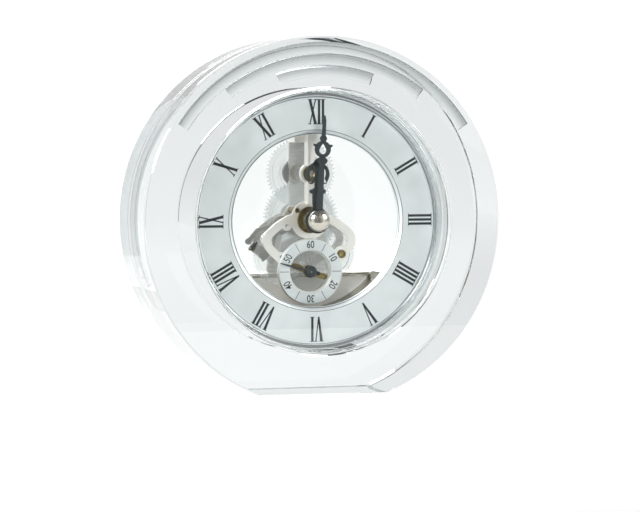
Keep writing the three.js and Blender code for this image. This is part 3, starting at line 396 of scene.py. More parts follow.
bezel_low, bezel_high = reach("bezel_ring")
bezel_radius = bezel_high[0]
bezel_front, bezel_back = bezel_low[1], bezel_high[1]
tube_wall = 1.4
lip_width = 1.5
lip_thickness = 0.9
wall_inner = bezel_radius - tube_wall
lip_inner = wall_inner - lip_width
lip_round = 0.3
turn = np.linspace(0, math.pi / 2, 5)
lip_edge = np.stack([
    lip_inner + lip_round - lip_round * np.sin(turn), bezel_front + lip_round - lip_round * np.cos(turn),
], -1)
outer_edge = np.stack([
    bezel_radius - lip_round + lip_round * np.sin(turn), bezel_front + lip_round - lip_round * np.cos(turn),
], -1)
bezel_profile = [
    *outer_edge, (bezel_radius, bezel_back), (wall_inner, bezel_back),
    (wall_inner, bezel_front + lip_thickness),
    (lip_inner, bezel_front + lip_thickness), *lip_edge[::-1],
]



def relief(tree, shader, pattern, strength, depth):
    """Bumps that follow a pattern, depth metres high at full strength."""
    bump = add_node(tree, "Bump", {"Height": pattern, "Strength": strength, "Distance": depth})
    tree.links.new(bump.outputs["Normal"], shader.inputs["Normal"])


# Bright plating: a mirror with a cool cast and the faintest turning lines, drawn 0.4 mm apart.
bright_plate, tree, shader = new_material("bright_plated_brass", "#dfe2e4", 0.07, 1.0)
lines = add_node(tree, "TexWave", {
    "Vector": from_clock_axis(tree), "Scale": 0.4 / 0.0004 / 6.28, "Distortion": 0.4,
}, wave_type="RINGS", rings_direction="Y")
relief(tree, shader, lines.outputs["Fac"], 0.05, 0.00005)

piece("dial_bezel", [turned(bezel_profile, count=240)], bright_plate, "clock",
      ["bezel_ring"])

lens_low, lens_high = reach("lens")
lens_radius = lens_high[0]
lens_front, lens_back = lens_low[1], lens_high[1]
lens_chamfer = 0.2
lens_profile = [
    (0, lens_front), (lens_radius - lens_chamfer, lens_front), (lens_radius, lens_front + lens_chamfer),
    (lens_radius, lens_back - lens_chamfer), (lens_radius - lens_chamfer, lens_back), (0, lens_back),
]

# Mineral glass: thinner and a touch greener than the block, and as smooth.
mineral_glass, tree, shader = new_material(
    "mineral_glass", "#fdfffe", 0.0, IOR=1.5, Transmission_Weight=1.0,
)
vary_roughness(tree, shader, noise(tree, 0.02), 0.0, 0.01, 0.6, 0.9)
lens = piece("flat_lens", [turned(lens_profile, count=240)], mineral_glass, "clock", ["lens"])
lens.visible_shadow = False

seal_low, seal_high = reach("lens_gasket")
seal_outer = seal_high[0]
seal_section = 0.6
seal_half = (seal_high[1] - seal_low[1]) / 2
seal_middle = (seal_high[1] + seal_low[1]) / 2
turn = np.linspace(0, 2 * math.pi, 16, endpoint=False)
seal_profile = np.stack([
    seal_outer - seal_section / 2 + seal_section / 2 * np.cos(turn), seal_middle + seal_half * np.sin(turn),
], -1)

# Clear silicone rubber: soft and cloudy, so its edge reads as a pale grey line.
silicone, tree, shader = new_material(
    "clear_silicone_rubber", "#f1f4f3", 0.35, IOR=1.41, Transmission_Weight=0.85,
)
vary_roughness(tree, shader, noise(tree, 0.004), 0.3, 0.42)
seal = piece("lens_seal", [turned(seal_profile, count=240)], silicone, "clock", ["lens_gasket"])
seal.visible_shadow = False


# ---- Chapter ring ----
# A flat brass ring, turned with very fine rings, silvered and lacquered, with a bevelled inner
# edge. The condensed Roman numerals are printed in black with their feet to the centre.

ring_low, ring_high = reach("chapter_ring")
ring_outer = ring_high[0]
ring_front, ring_back = ring_low[1], ring_high[1]
ring_inner = 35.3
ring_bevel = 1.6
ring_profile = [
    (ring_inner + ring_bevel, ring_front), (ring_outer, ring_front), (ring_outer, ring_back),
    (ring_inner, ring_back), (ring_inner, ring_front + ring_bevel / 2 + 0.12),
    (ring_inner + 0.12, ring_front + ring_bevel / 2),
]

# Silvered brass: pale and slightly green, satin under its lacquer. The turning rings are drawn
# 0.5 mm apart, coarser than the real ones, so that they just show, and the tone drifts a little.
silvered_brass, tree, shader = new_material("satin_silvered_brass", "#d2d5d4", 0.42, 1.0)
place = from_clock_axis(tree)
rings = add_node(tree, "TexWave", {
    "Vector": place, "Scale": 1 / 0.0005 / 6.28, "Distortion": 0.6, "Detail": 2.0,
}, wave_type="RINGS", rings_direction="Y")
drift = noise(tree, 0.012, 4.0, place, Roughness=0.6)
vary_colour(tree, shader, drift, "#dde2e3", "#e8edee", 0.3, 0.7)
vary_roughness(tree, shader, drift, 0.38, 0.5)
relief(tree, shader, rings.outputs["Fac"], 0.12, 0.00005)

piece("silvered_chapter_ring", [turned(ring_profile, count=240)], silvered_brass, "clock",
      ["chapter_ring"])

numeral_foot = 39.3
numeral_height = 10.2
stem = 1.02
thin = 0.5
letter_pitch = 1.68
wide_letter = 3.7
serif_height = 0.3
serif_reach = 0.42
print_thickness = 0.03
print_gap = 0.005


def stroke(foot, head, foot_width, head_width):
    """One printed stroke as a thin block of eight corners, from its foot to its head."""
    (x0, z0), (x1, z1) = foot, head
    corners = [
        (x0 - foot_width / 2, z0), (x0 + foot_width / 2, z0),
        (x1 + head_width / 2, z1), (x1 - head_width / 2, z1),
    ]
    flat = np.array([(x, 0, z) for x, z in corners])
    ahead = flat - (0, print_thickness, 0)
    return np.stack([flat.mean(0) + 0 * flat, flat, ahead, ahead.mean(0) + 0 * ahead])


def serif(x, z, width):
    """A bar across the end of a stem, at the foot or head of the letters."""
    half = serif_height / 2
    return stroke((x, z - half), (x, z + half), width + 2 * serif_reach, width + 2 * serif_reach)


def numeral(letters):
    """The strokes of one Roman numeral, centred on x = 0 with its feet at z = 0."""
    widths = [letter_pitch if letter == "I" else wide_letter for letter in letters]
    left = -sum(widths) / 2
    strokes = []
    low, high = serif_height / 2, numeral_height - serif_height / 2
    for letter, width in zip(letters, widths):
        x = left + width / 2
        side = (width - stem) / 2 - 0.12
        if letter == "I":
            strokes += [
                stroke((x, 0), (x, numeral_height), stem, stem),
                serif(x, low, stem), serif(x, high, stem),
            ]
        if letter == "V":
            strokes += [
                stroke((x, 0), (x - side, numeral_height), stem * 0.7, stem * 1.15),
                stroke((x, 0), (x + side, numeral_height), thin * 0.9, thin),
                serif(x - side, high, stem), serif(x + side, high, thin),
            ]
        if letter == "X":
            strokes += [
                stroke((x + side, 0), (x - side, numeral_height), stem * 1.15, stem * 1.15),
                stroke((x - side, 0), (x + side, numeral_height), thin, thin),
                serif(x + side, low, stem), serif(x - side, low, thin),
                serif(x - side, high, stem), serif(x + side, high, thin),
            ]
        left += width
    return strokes


def swung(x, z, turn, centre=(0, 0)):
    """Points turned clockwise by an angle about their own zero, then moved to a centre."""
    return (
        centre[0] + x * math.cos(turn) + z * math.sin(turn),
        centre[1] + z * math.cos(turn) - x * math.sin(turn),
    )


def round_the_dial(grid, hour):
    """Moves a numeral out to its radius and turns it clockwise to its hour."""
    x, z = swung(grid[..., 0], grid[..., 2] + numeral_foot, math.radians(30 * hour))
    return np.stack([x, grid[..., 1] + ring_front - print_gap, z], -1)


roman = ["XII", "I", "II", "III", "IIII", "V", "VI", "VII", "VIII", "IX", "X", "XI"]
numerals = [round_the_dial(grid, hour) for hour, letters in enumerate(roman) for grid in numeral(letters)]

# Printing ink: dense satin black, a little thin in places.
black_ink, tree, shader = new_material("black_printing_ink", "#171c1e", 0.55, Specular_IOR_Level=0.3)
vary_colour(tree, shader, noise(tree, 0.0008), "#12171a", "#1f2527")

piece("hour_numerals", numerals, black_ink, "clock", crease=20)

# Three fine lines are printed round the ring: one inside the bezel and one on each side of the bevel.
line_width = 0.2


def printed_line(radius):
    """A thin printed circle that follows the face, or the slope of the bevel, at its radius."""
    edges = np.array([radius - line_width / 2, radius + line_width / 2])
    slope = np.clip(ring_inner + ring_bevel - edges, 0, ring_bevel) / 2
    face = ring_front + slope - print_gap
    return turned([
        (edges[0], face[0] - print_thickness), (edges[1], face[1] - print_thickness),
        (edges[1], face[1]), (edges[0], face[0]),
    ], count=240)


line_radii = (lip_inner - 0.35, ring_inner + ring_bevel + 0.15, ring_inner + 0.35)
printed_lines = [printed_line(radius) for radius in line_radii]
piece("printed_dial_lines", printed_lines, black_ink, "clock", crease=20)


# ---- Movement plates ----
# The front plate is one piece of nickelled brass: a boss, two bowed arms, the ring under the
# seconds dial and a bar up to the top block. The rear plate has the same arms, a strap and legs.
# All are stamped, then brushed, and the edges are broken by tumbling.

broken_edge = 0.14


def copied(node):
    """A CAD solid's own mesh, with its doubles merged and its flat faces joined."""
    shape = bmesh.new()
    shape.from_mesh(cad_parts[node].data)
    bmesh.ops.remove_doubles(shape, verts=shape.verts, dist=1e-6)
    bmesh.ops.dissolve_limit(
        shape, angle_limit=math.radians(0.5), verts=shape.verts, edges=shape.edges,
    )
    bmesh.ops.recalc_face_normals(shape, faces=shape.faces)
    mesh = bpy.data.meshes.new(node + "_shape")
    shape.to_mesh(mesh)
    shape.free()
    return mesh


def break_edges(thing, width=broken_edge):
    """Rounds every sharp edge by a narrow bevel, in millimetres."""
    bevel = thing.modifiers.new("broken_edges", "BEVEL")
    bevel.width = width / 1000
    bevel.segments = 2
    bevel.limit_method = "ANGLE"
    bevel.angle_limit = math.radians(40)
    bevel.harden_normals = True
    return thing


def from_cad(name, node, material, body, width=broken_edge):
    """A piece whose shape is its CAD node's, finished with broken edges."""
    return break_edges(placed(name, copied(node), material, body, [node]), width)


def brushed(tree, shader, pale, dark, smooth, rough):
    """Brushing along X: noise stretched thirty times sets the tone, the roughness and the relief.
    Strands are drawn 0.3 mm apart."""
    place = add_node(tree, "Mapping", {
        "Vector": add_node(tree, "TexCoord").outputs["Object"], "Scale": (1 / 30, 1, 1),
    })
    strands = noise(tree, 0.0003, 3.0, place.outputs["Vector"], Roughness=0.6)
    vary_colour(tree, shader, strands, dark, pale, 0.25, 0.75)
    vary_roughness(tree, shader, strands, smooth, rough)
    relief(tree, shader, strands, 0.02, 0.00008)


# Nickelled brass: a pale, slightly warm metal with a soft, even brushed sheen.
brushed_nickel, tree, shader = new_material("brushed_nickelled_brass", "#dcd8d0", 0.3, 1.0)
brushed(tree, shader, "#f6f4f0", "#eeebe5", 0.4, 0.48)

# The rear plate is plated over smoother brass: a little darker, and glossier in streaks.
bright_nickel, tree, shader = new_material("bright_nickelled_brass", "#dcd8d0", 0.14, 1.0)
brushed(tree, shader, "#f0ede7", "#dcd8d0", 0.16, 0.34)

from_cad("front_plate_and_bar", "front_plate", brushed_nickel, "clock")
from_cad("rear_plate_and_strap", "rear_plate", bright_nickel, "clock")
from_cad("top_block_between_plates", "top_block", brushed_nickel, "clock")
from_cad("train_bridge_plate", "train_bridge", brushed_nickel, "clock", 0.1)


# ---- Seconds dial ----
# A small silvered ring that stands on the front plate round the seconds arbor. Its figures and
# six tick lines are printed in black.

small_low, small_high = reach("seconds_dial")
small_centre = ((small_low[0] + small_high[0]) / 2, (small_low[2] + small_high[2]) / 2)
small_outer = (small_high[0] - small_low[0]) / 2
small_inner = 8.8
small_front, small_back = small_low[1], small_high[1]
small_chamfer = 0.18
small_profile = [
    (small_inner + small_chamfer, small_front), (small_outer - small_chamfer, small_front),
    (small_outer, small_front + small_chamfer), (small_outer, small_back), (small_inner, small_back),
    (small_inner, small_front + small_chamfer),
]
piece("small_seconds_dial", [turned(small_profile, small_centre, 128)], silvered_brass, "clock",
      ["seconds_dial"])

figure_height = 3.1
figure_narrowing = 0.78
figure_radius = 11.2


def meshed(curve):
    """A text or a flat curve made a mesh. The curve itself is removed."""
    carrier = bpy.data.objects.new(curve.name, curve)
    bpy.context.scene.collection.objects.link(carrier)
    bpy.context.view_layer.update()
    graph = bpy.context.evaluated_depsgraph_get()
    mesh = bpy.data.meshes.new_from_object(carrier.evaluated_get(graph))
    bpy.data.objects.remove(carrier)
    bpy.data.curves.remove(curve)
    return mesh


def points_of(mesh):
    """A mesh's points as rows of x, y and z."""
    points = np.zeros(len(mesh.vertices) * 3)
    mesh.vertices.foreach_get("co", points)
    return points.reshape(-1, 3)


def figures(text, radius, degrees, height, centre):
    """Figures made a mesh, in millimetres, stood at a radius and turned clockwise by degrees."""
    lettering = bpy.data.curves.new("figures", "FONT")
    lettering.body = text
    lettering.size = height * 1.38
    lettering.extrude = print_thickness / 2
    lettering.offset = 0.05
    lettering.resolution_u = 4
    lettering.align_x = "CENTER"
    lettering.align_y = "CENTER"
    mesh = meshed(lettering)
    x, z, y = points_of(mesh).T
    middle = (x.max() + x.min()) / 2, (z.max() + z.min()) / 2
    x, z = (x - middle[0]) * figure_narrowing, z - middle[1] + radius
    x, z = swung(x, z, math.radians(degrees), centre)
    mesh.vertices.foreach_set("co", np.stack([x, -y, z], -1).ravel())
    return mesh


def gathered(name, meshes):
    """Several meshes in millimetres about the clock's axis as one mesh in metres, faces outwards."""
    shape = bmesh.new()
    for mesh in meshes:
        shape.from_mesh(mesh)
        bpy.data.meshes.remove(mesh)
    bmesh.ops.remove_doubles(shape, verts=shape.verts, dist=1e-4)
    bmesh.ops.recalc_face_normals(shape, faces=shape.faces)
    whole = bpy.data.meshes.new(name)
    shape.to_mesh(whole)
    shape.free()
    whole.vertices.foreach_set("co", (points_of(whole) / 1000 + axis_place).ravel())
    return whole


def shifted(mesh, depth):
    """Moves a mesh along Y, in millimetres."""
    points = points_of(mesh)
    points[:, 1] += depth
    mesh.vertices.foreach_set("co", points.ravel())
    return mesh


printed = []
for number in range(6):
    word = "60" if number == 0 else str(number * 10)
    printed.append(figures(word, figure_radius, 60 * number, figure_height, small_centre))
printed = [shifted(mesh, small_front - print_thickness / 2 - print_gap) for mesh in printed]
placed("seconds_figures", gathered("seconds_figures", printed), black_ink, "clock")

tick_width = 0.22
ticks = []
for number in range(6):
    line = stroke((0, small_inner + 0.5), (0, small_outer - 0.5), tick_width, tick_width)
    x, z = swung(line[..., 0], line[..., 2], math.radians(30 + 60 * number), small_centre)
    ticks.append(np.stack([x, line[..., 1] + small_front - print_gap, z], -1))
piece("seconds_ticks", ticks, black_ink, "clock", crease=20)


# ---- Bushes, sleeve and pillars ----
# Turned brass, pressed into the plates: a flanged sleeve for the hand pipes, two flanged bushes
# for the minute post, a plug in the right arm, and two shouldered pillars under the bridge.

# Lacquered brass, darkened by age and by what it reflects: olive gold, with soft stains.
aged_brass, tree, shader = new_material("aged_lacquered_brass", "#8f8052", 0.24, 1.0)
stain = noise(tree, 0.0025, 3.0)
vary_colour(tree, shader, stain, "#6f6440", "#a3925f", 0.3, 0.7)
vary_roughness(tree, shader, stain, 0.18, 0.32)


def middle_of(node):
    """Where a round CAD node's axis stands, as (x, z) from the clock's axis."""
    low, high = reach(node)
    return (low[0] + high[0]) / 2, (low[2] + high[2]) / 2


sleeve_low, sleeve_high = reach("centre_sleeve")
sleeve_flange = sleeve_high[0]
sleeve_radius = 4.0
sleeve_bore = 2.9
flange_front = -1.3
flange_back = -0.3
sleeve_profile = [
    (sleeve_bore, sleeve_low[1] + 0.2), (sleeve_bore + 0.2, sleeve_low[1]),
    (sleeve_radius - 0.25, sleeve_low[1]), (sleeve_radius, sleeve_low[1] + 0.25),
    (sleeve_radius, flange_front), (sleeve_flange - 0.2, flange_front),
    (sleeve_flange, flange_front + 0.2), (sleeve_flange, flange_back), (sleeve_radius, flange_back),
    (sleeve_radius, sleeve_high[1]), (sleeve_bore, sleeve_high[1]),
]
piece("hand_sleeve", [turned(sleeve_profile, count=96)], aged_brass, "clock", ["centre_sleeve"])

bush_bore = 1.1
bush_radius = 2.4
bush_flange = 3.4
for node, name, near_face in (
    ("minute_bush_front", "front_minute_bush", True), ("minute_bush_rear", "rear_minute_bush", False),
):
    low, high = reach(node)
    flange_end = low[1] + (0.7 if near_face else 0.5)
    profile = [
        (bush_bore, low[1] + 0.35), (bush_bore + 0.5, low[1]), (bush_flange - 0.15, low[1]),
        (bush_flange, low[1] + 0.15), (bush_flange, flange_end), (bush_radius, flange_end),
        (bush_radius, high[1]), (bush_bore, high[1]),
    ]
    piece(name, [turned(profile, middle_of(node), 64)], aged_brass, "clock", [node])

from_cad("seconds_arbor_bridge", "seconds_bridge", aged_brass, "clock", 0.15)

low, high = reach("side_bush")
plug_radius = (high[0] - low[0]) / 2
plug_profile = [
    (0, low[1] + 0.25), (0.4, low[1] + 0.1), (0.6, low[1]), (plug_radius - 0.15, low[1]),
    (plug_radius, low[1] + 0.15), (plug_radius, high[1]), (0, high[1]),
]
piece("side_plug", [turned(plug_profile, middle_of("side_bush"), 48)], aged_brass, "clock",
      ["side_bush"])

pillar_spigot = 0.8
shoulder_front = 1.5
shoulder_back = 9.4
shoulder_edge = 0.12
for side in ("left", "right"):
    node = "bridge_pillar_" + side
    low, high = reach(node)
    pillar_radius = (high[0] - low[0]) / 2
    profile = [
        (0, low[1]), (pillar_spigot, low[1]), (pillar_spigot, shoulder_front),
        (pillar_radius - shoulder_edge, shoulder_front),
        (pillar_radius, shoulder_front + shoulder_edge), (pillar_radius, shoulder_back - shoulder_edge),
        (pillar_radius - shoulder_edge, shoulder_back), (pillar_spigot, shoulder_back),
        (pillar_spigot, high[1] - 0.15), (pillar_spigot - 0.15, high[1]), (0, high[1]),
    ]
    piece(side + "_pillar", [turned(profile, middle_of(node), 48)], aged_brass, "clock", [node])


# ---- Motor ----
# A stepping motor: a coil of enamelled copper on a steel core, laminated steel pole pieces round
# a small ferrite magnet, which is pressed on the rotor's arbor.

# Plain rolled steel: neutral grey, lightly brushed.
plain_steel, tree, shader = new_material("plain_rolled_steel", "#b0b0ae", 0.3, 1.0)
brushed(tree, shader, "#babab8", "#9c9c9a", 0.25, 0.4)

from_cad("coil_core_rod", "coil_core", plain_steel, "clock", 0.08)
from_cad("pole_pieces", "stator", plain_steel, "clock", 0.08)

coil_start = np.array([-22.0, -10.4])
coil_heading = np.array([0.771, -0.637])
coil_length = 7.8
coil_flange = 2.7
coil_flange_width = 0.6
coil_bore = 1.3
coil_low, coil_high = reach("coil_core")
coil_depth = (coil_low[1] + coil_high[1]) / 2
wire_pitch = 0.33
wire_radius = 2.3


def about_coil(profile, count=64):
    """A profile of [radius, distance along the coil] carried round the coil's own axis."""
    radius, run = np.array(profile, float).T
    turn = np.linspace(0, 2 * math.pi, count, endpoint=False)[:, None]
    across = radius * np.cos(turn)
    x = coil_start[0] + coil_heading[0] * run - coil_heading[1] * across
    z = coil_start[1] + coil_heading[1] * run + coil_heading[0] * across
    return np.stack([x, coil_depth + radius * np.sin(turn), z], -1)


# The top layer of wire is a row of half circles along the coil, coarser than the real 0.1 mm wire.
wire_run = np.linspace(coil_flange_width, coil_length - coil_flange_width, 161)
wire_bulge = wire_pitch / 2 * np.abs(np.sin(math.pi * (wire_run - coil_flange_width) / wire_pitch))
winding_profile = [
    (coil_bore, coil_flange_width), *zip(wire_radius - wire_pitch / 2 + wire_bulge, wire_run),
    (coil_bore, coil_length - coil_flange_width),
]

# Enamelled copper: dark amber lacquer over metal, glossy, each turn catching the light.
enamelled_wire, tree, shader = new_material("enamelled_copper_wire", "#57503c", 0.35, 0.6, Coat_Weight=0.5)
vary_colour(tree, shader, noise(tree, 0.0006, 3.0), "#3c3829", "#6f6549", 0.3, 0.7)

bobbin_ends = [
    [(coil_bore, start), (coil_flange - 0.1, start), (coil_flange, start + 0.1),
     (coil_flange, start + coil_flange_width - 0.1), (coil_flange - 0.1, start + coil_flange_width),
     (coil_bore, start + coil_flange_width)]
    for start in (0.0, coil_length - coil_flange_width)
]
piece("wound_coil", [about_coil(winding_profile)], enamelled_wire, "clock", ["coil_winding"], 50)

# Moulded black plastic: charcoal, with a fine spark-eroded texture of about 0.2 mm.
black_plastic, tree, shader = new_material("moulded_black_plastic", "#2b2c2d", 0.45)
grit = noise(tree, 0.0002)
relief(tree, shader, grit, 0.25, 0.00005)
vary_roughness(tree, shader, grit, 0.38, 0.55)
piece("coil_bobbin_ends", [about_coil(profile) for profile in bobbin_ends], black_plastic, "clock")

magnet_low, magnet_high = reach("rotor_magnet")
magnet_radius = (magnet_high[0] - magnet_low[0]) / 2
magnet_bore = 0.8
magnet_profile = [
    (magnet_bore, magnet_low[1]), (magnet_radius - 0.15, magnet_low[1]),
    (magnet_radius, magnet_low[1] + 0.15), (magnet_radius, magnet_high[1] - 0.15),
    (magnet_radius - 0.15, magnet_high[1]), (magnet_bore, magnet_high[1]),
]

# Bonded ferrite: dark grey and matt, with a fine grain.
ferrite, tree, shader = new_material("bonded_ferrite", "#3a3a3c", 0.7)
vary_colour(tree, shader, noise(tree, 0.0003, 3.0), "#2c2c2e", "#4a4a4c")
piece("ferrite_rotor", [turned(magnet_profile, middle_of("rotor_magnet"), 48)], ferrite, "rotor",
      ["rotor_magnet"])


# ---- Gears and arbors ----
# The train's wheels and pinions are injection moulded in clear acetal, so the white room shows
# through them and only their teeth, rims and hubs read as grey lines. Each wheel has a toothed
# rim, a thin web and a hub.

# Clear moulded plastic: colourless, very slightly frosted, with faint flow marks.
clear_acetal, tree, shader = new_material(
    "clear_moulded_acetal", "#eceeee", 0.12, IOR=1.46, Transmission_Weight=0.9,
)
vary_roughness(tree, shader, noise(tree, 0.003), 0.06, 0.2)


def flat_sheet(outlines, front, back):
    """A flat mesh in millimetres cut to closed outlines of (x, z), holes among them: a filled curve
    with its thickness, made a mesh and stood up so that its faces look along Y."""
    curve = bpy.data.curves.new("outline", "CURVE")
    curve.dimensions = "2D"
    curve.fill_mode = "BOTH"
    curve.extrude = (back - front) / 2
    for outline in outlines:
        outline = np.asarray(outline, float)
        spline = curve.splines.new("POLY")
        spline.points.add(len(outline) - 1)
        spline.use_cyclic_u = True
        flat = np.zeros((len(outline), 4))
        flat[:, :2] = outline
        flat[:, 3] = 1
        spline.points.foreach_set("co", flat.ravel())
    mesh = meshed(curve)
    x, z, y = points_of(mesh).T
    mesh.vertices.foreach_set("co", np.stack([x, (front + back) / 2 - y, z], -1).ravel())
    return mesh


def ring_of_teeth(teeth, module, turn, place, tooth):
    """A gear's outline: each tooth's corners are [share of the pitch, height in modules]."""
    share, height = np.array(tooth).T
    angle = turn + 2 * math.pi * (np.arange(teeth)[:, None] + share) / teeth
    radius = (teeth / 2 + height) * module + 0 * angle
    return np.stack([place[0] + radius * np.sin(angle), place[1] + radius * np.cos(angle)], -1).reshape(-1, 2)


def circle(radius, place, count=72):
    """A circle's points about a place."""
    angle = np.linspace(0, 2 * math.pi, count, endpoint=False)
    return np.stack([place[0] + radius * np.sin(angle), place[1] + radius * np.cos(angle)], -1)


def module_of(place_a, place_b, teeth_a, teeth_b):
    """Two gears in mesh: twice the distance between their arbors over their teeth."""
    return 2 * math.dist(place_a, place_b) / (teeth_a + teeth_b)


def mesh_turn(place_a, place_b, teeth_a, teeth_b, turn_a=0.0):
    """Turn of gear B that puts one of its gaps where gear A has a tooth, on the line between them."""
    heading = math.atan2(place_b[0] - place_a[0], place_b[1] - place_a[1])
    return heading + math.pi - (turn_a - heading) * teeth_a / teeth_b + math.pi / teeth_b


def mesh_from(grids):
    """Closed grids as one mesh in millimetres, to be gathered with flat sheets."""
    points, quads = joined(grids)
    mesh = bpy.data.meshes.new("grids")
    mesh.from_pydata(points.tolist(), [], quads)
    return mesh


tooth_root = 1.1
wheel_tooth = [
    (-0.31, -tooth_root), (-0.22, -0.1), (-0.08, 0.8), (0.08, 0.8), (0.22, -0.1), (0.31, -tooth_root),
]
wheel_thickness = 1.0
rim_width = 1.5
web_thickness = 0.35
hub_radius = 1.9


def moulded_wheel(name, node, body, teeth, module, turn, bore, place):
    """A moulded wheel in place of a plain CAD one: toothed rim, thin dished web and stout hub."""
    low, high = reach(node)
    front = high[1] - wheel_thickness
    back = high[1]
    root = (teeth / 2 - tooth_root) * module
    inside = root - rim_width
    middle = (front + back) / 2
    rim = flat_sheet([
        ring_of_teeth(teeth, module, turn, place, wheel_tooth), circle(inside, place, 96),
    ], front, back)
    hub = max(hub_radius, bore + 0.7)
    web = turned([
        (bore, front), (hub, front), (hub + 0.15, middle - web_thickness / 2),
        (inside + 0.1, middle - web_thickness / 2), (inside + 0.1, middle + web_thickness / 2),
        (hub + 0.15, middle + web_thickness / 2), (hub, back), (bore, back),
    ], place, 72)
    mesh = gathered(name, [rim, mesh_from([web])])
    wheel = placed(name, mesh, clear_acetal, body, [node])
    wheel.visible_shadow = False
    return wheel


rotor_place = middle_of("rotor_pinion")
step_place = middle_of("step_wheel")
seconds_place = middle_of("seconds_wheel")
third_place = middle_of("third_wheel")
centre_place = (0.0, 0.0)
minute_place = middle_of("minute_wheel")
fine_bore = 0.8
arbor_bore = 1.1

# Each wheel, its teeth, its bore, and the pinion that it meshes with.
for node, body, place, teeth, bore, pinion_place, pinion_teeth in (
    ("step_wheel", "step", step_place, 60, fine_bore, rotor_place, 10),
    ("seconds_wheel", "seconds", seconds_place, 60, fine_bore, step_place, 12),
    ("third_wheel", "third", third_place, 60, fine_bore, seconds_place, 8),
    ("centre_wheel", "centre", centre_place, 64, arbor_bore, third_place, 8),
    ("minute_wheel", "minute_wheel", minute_place, 54, arbor_bore, centre_place, 18),
):
    module = module_of(pinion_place, place, pinion_teeth, teeth)
    turn = mesh_turn(pinion_place, place, pinion_teeth, teeth)
    moulded_wheel("toothed_" + node, node, body, teeth, module, turn, bore, place)

# The hour wheel is moulded in one with the pipe that carries the hour hand.
hour_low, hour_high = reach("hour_wheel")
pipe_inner = 2.0
pipe_outer = 2.6
hour_front = hour_high[1] - wheel_thickness
hour_pipe = turned([
    (pipe_inner, hour_low[1]), (pipe_outer, hour_low[1]),
    (pipe_outer, hour_high[1]), (pipe_inner, hour_high[1]),
], centre_place, 64)
hour_teeth = 56
minute_pinion_teeth = 14
hour_module = module_of(minute_place, centre_place, minute_pinion_teeth, hour_teeth)
hour_turn = mesh_turn(minute_place, centre_place, minute_pinion_teeth, hour_teeth)
hour_root = (hour_teeth / 2 - tooth_root) * hour_module
hour_inside = hour_root - rim_width
hour_rim = flat_sheet([
    ring_of_teeth(hour_teeth, hour_module, hour_turn, centre_place, wheel_tooth),
    circle(hour_inside, centre_place, 96),
], hour_front, hour_high[1])
hour_web = turned([
    (pipe_outer - 0.1, hour_front + 0.3), (hour_inside + 0.1, hour_front + 0.3),
    (hour_inside + 0.1, hour_front + 0.65), (pipe_outer - 0.1, hour_front + 0.65),
], centre_place, 72)
hour_wheel = placed(
    "toothed_hour_wheel", gathered("toothed_hour_wheel", [hour_rim, mesh_from([hour_pipe, hour_web])]),
    clear_acetal, "hour", ["hour_wheel"],
)
hour_wheel.visible_shadow = False

for node, body in (
    ("rotor_pinion", "rotor"), ("step_pinion", "step"), ("seconds_pinion", "seconds"),
    ("third_pinion", "third"), ("cannon_pinion", "minute"), ("minute_pinion", "minute_wheel"),
):
    arbor = from_cad("moulded_" + node, node, clear_acetal, body, 0.05)
    arbor.visible_shadow = False
from_cad("steel_centre_arbor", "centre_arbor", plain_steel, "centre", 0.1)


# ---- Hands ----
# Pierced steel hands, stamped from 0.5 mm sheet and enamelled black. Each is pressed on its pipe
# by a round hub, and a bright domed cap covers both hubs.

# Black enamel: satin, with a faint orange-peel ripple and rounded edges that catch a grey line.
black_enamel, tree, shader = new_material(
    "satin_black_enamel", "#20262a", 0.42, Specular_IOR_Level=0.3,
)
ripple = noise(tree, 0.0007)
vary_colour(tree, shader, ripple, "#1d2325", "#2d3437")
relief(tree, shader, ripple, 0.08, 0.00005)

hand_edge = 0.12
hand_thickness = 0.5


def both_sides(side):
    """A hand's right side from its base to its tip, mirrored to close the outline."""
    side = np.array(side, float)
    return np.concatenate([side, (side * (-1, 1))[::-1]])


def arc(place, radius, start, end, count):
    """A round stretch about a place, by clockwise angles in degrees from twelve."""
    turn = np.radians(np.linspace(start, end, count))
    return np.stack([place[0] + radius * np.sin(turn), place[1] + radius * np.cos(turn)], -1)


def pressed_hand(name, node, body, shapes, centre, degrees):
    """A hand from several outlines of one thickness, turned clockwise and put on its arbor."""
    low, high = reach(node)
    turn = math.radians(degrees)
    sheets = []
    for outlines in shapes:
        moved = [
            np.stack(swung(*np.asarray(outline, float).T, turn, centre), -1) for outline in outlines
        ]
        sheets.append(flat_sheet(moved, high[1] - hand_thickness, high[1]))
    mesh = gathered(name, sheets)
    return break_edges(placed(name, mesh, black_enamel, body, [node]), hand_edge)


hour_degrees = 0.3
hour_hub = 5.2
hour_bore = 2.9
crescent_place = (0, 19.0)
hour_blade = both_sides([
    (1.9, 4.0), (2.25, 7.5), (2.25, 11.0), (3.3, 11.3), (3.5, 12.0), (3.3, 12.7), (2.3, 12.9), (1.35, 13.6),
    (1.3, 16.2), (2.0, 16.9), (2.2, 17.6), (1.4, 18.2), (1.2, 19.6), (2.1, 20.0), (2.2, 20.8), (1.2, 21.3),
    (1.3, 22.2), (1.7, 23.0), (1.75, 23.8), (1.3, 24.6), (0.7, 25.1), (0.35, 25.5),
])
crescent = np.concatenate([arc(crescent_place, 5.0, -132, 132, 35), arc((0, 19.3), 3.5, 124, -124, 31)])
fluke_place = 2.75, 16.3
hour_flukes = [
    np.concatenate([
        arc((side * fluke_place[0], fluke_place[1]), 1.35, side * 110, side * 290, 14),
        arc((side * (fluke_place[0] + 0.35), fluke_place[1] + 0.1), 0.85, side * 270, side * 130, 10),
    ])
    for side in (-1, 1)
]
pressed_hand("pierced_hour_hand", "hour_hand", "hour", [
    [circle(hour_hub, (0, 0), 72), circle(hour_bore, (0, 0), 48)], [hour_blade], [crescent],
    *[[fluke] for fluke in hour_flukes],
], (0, 0), hour_degrees)

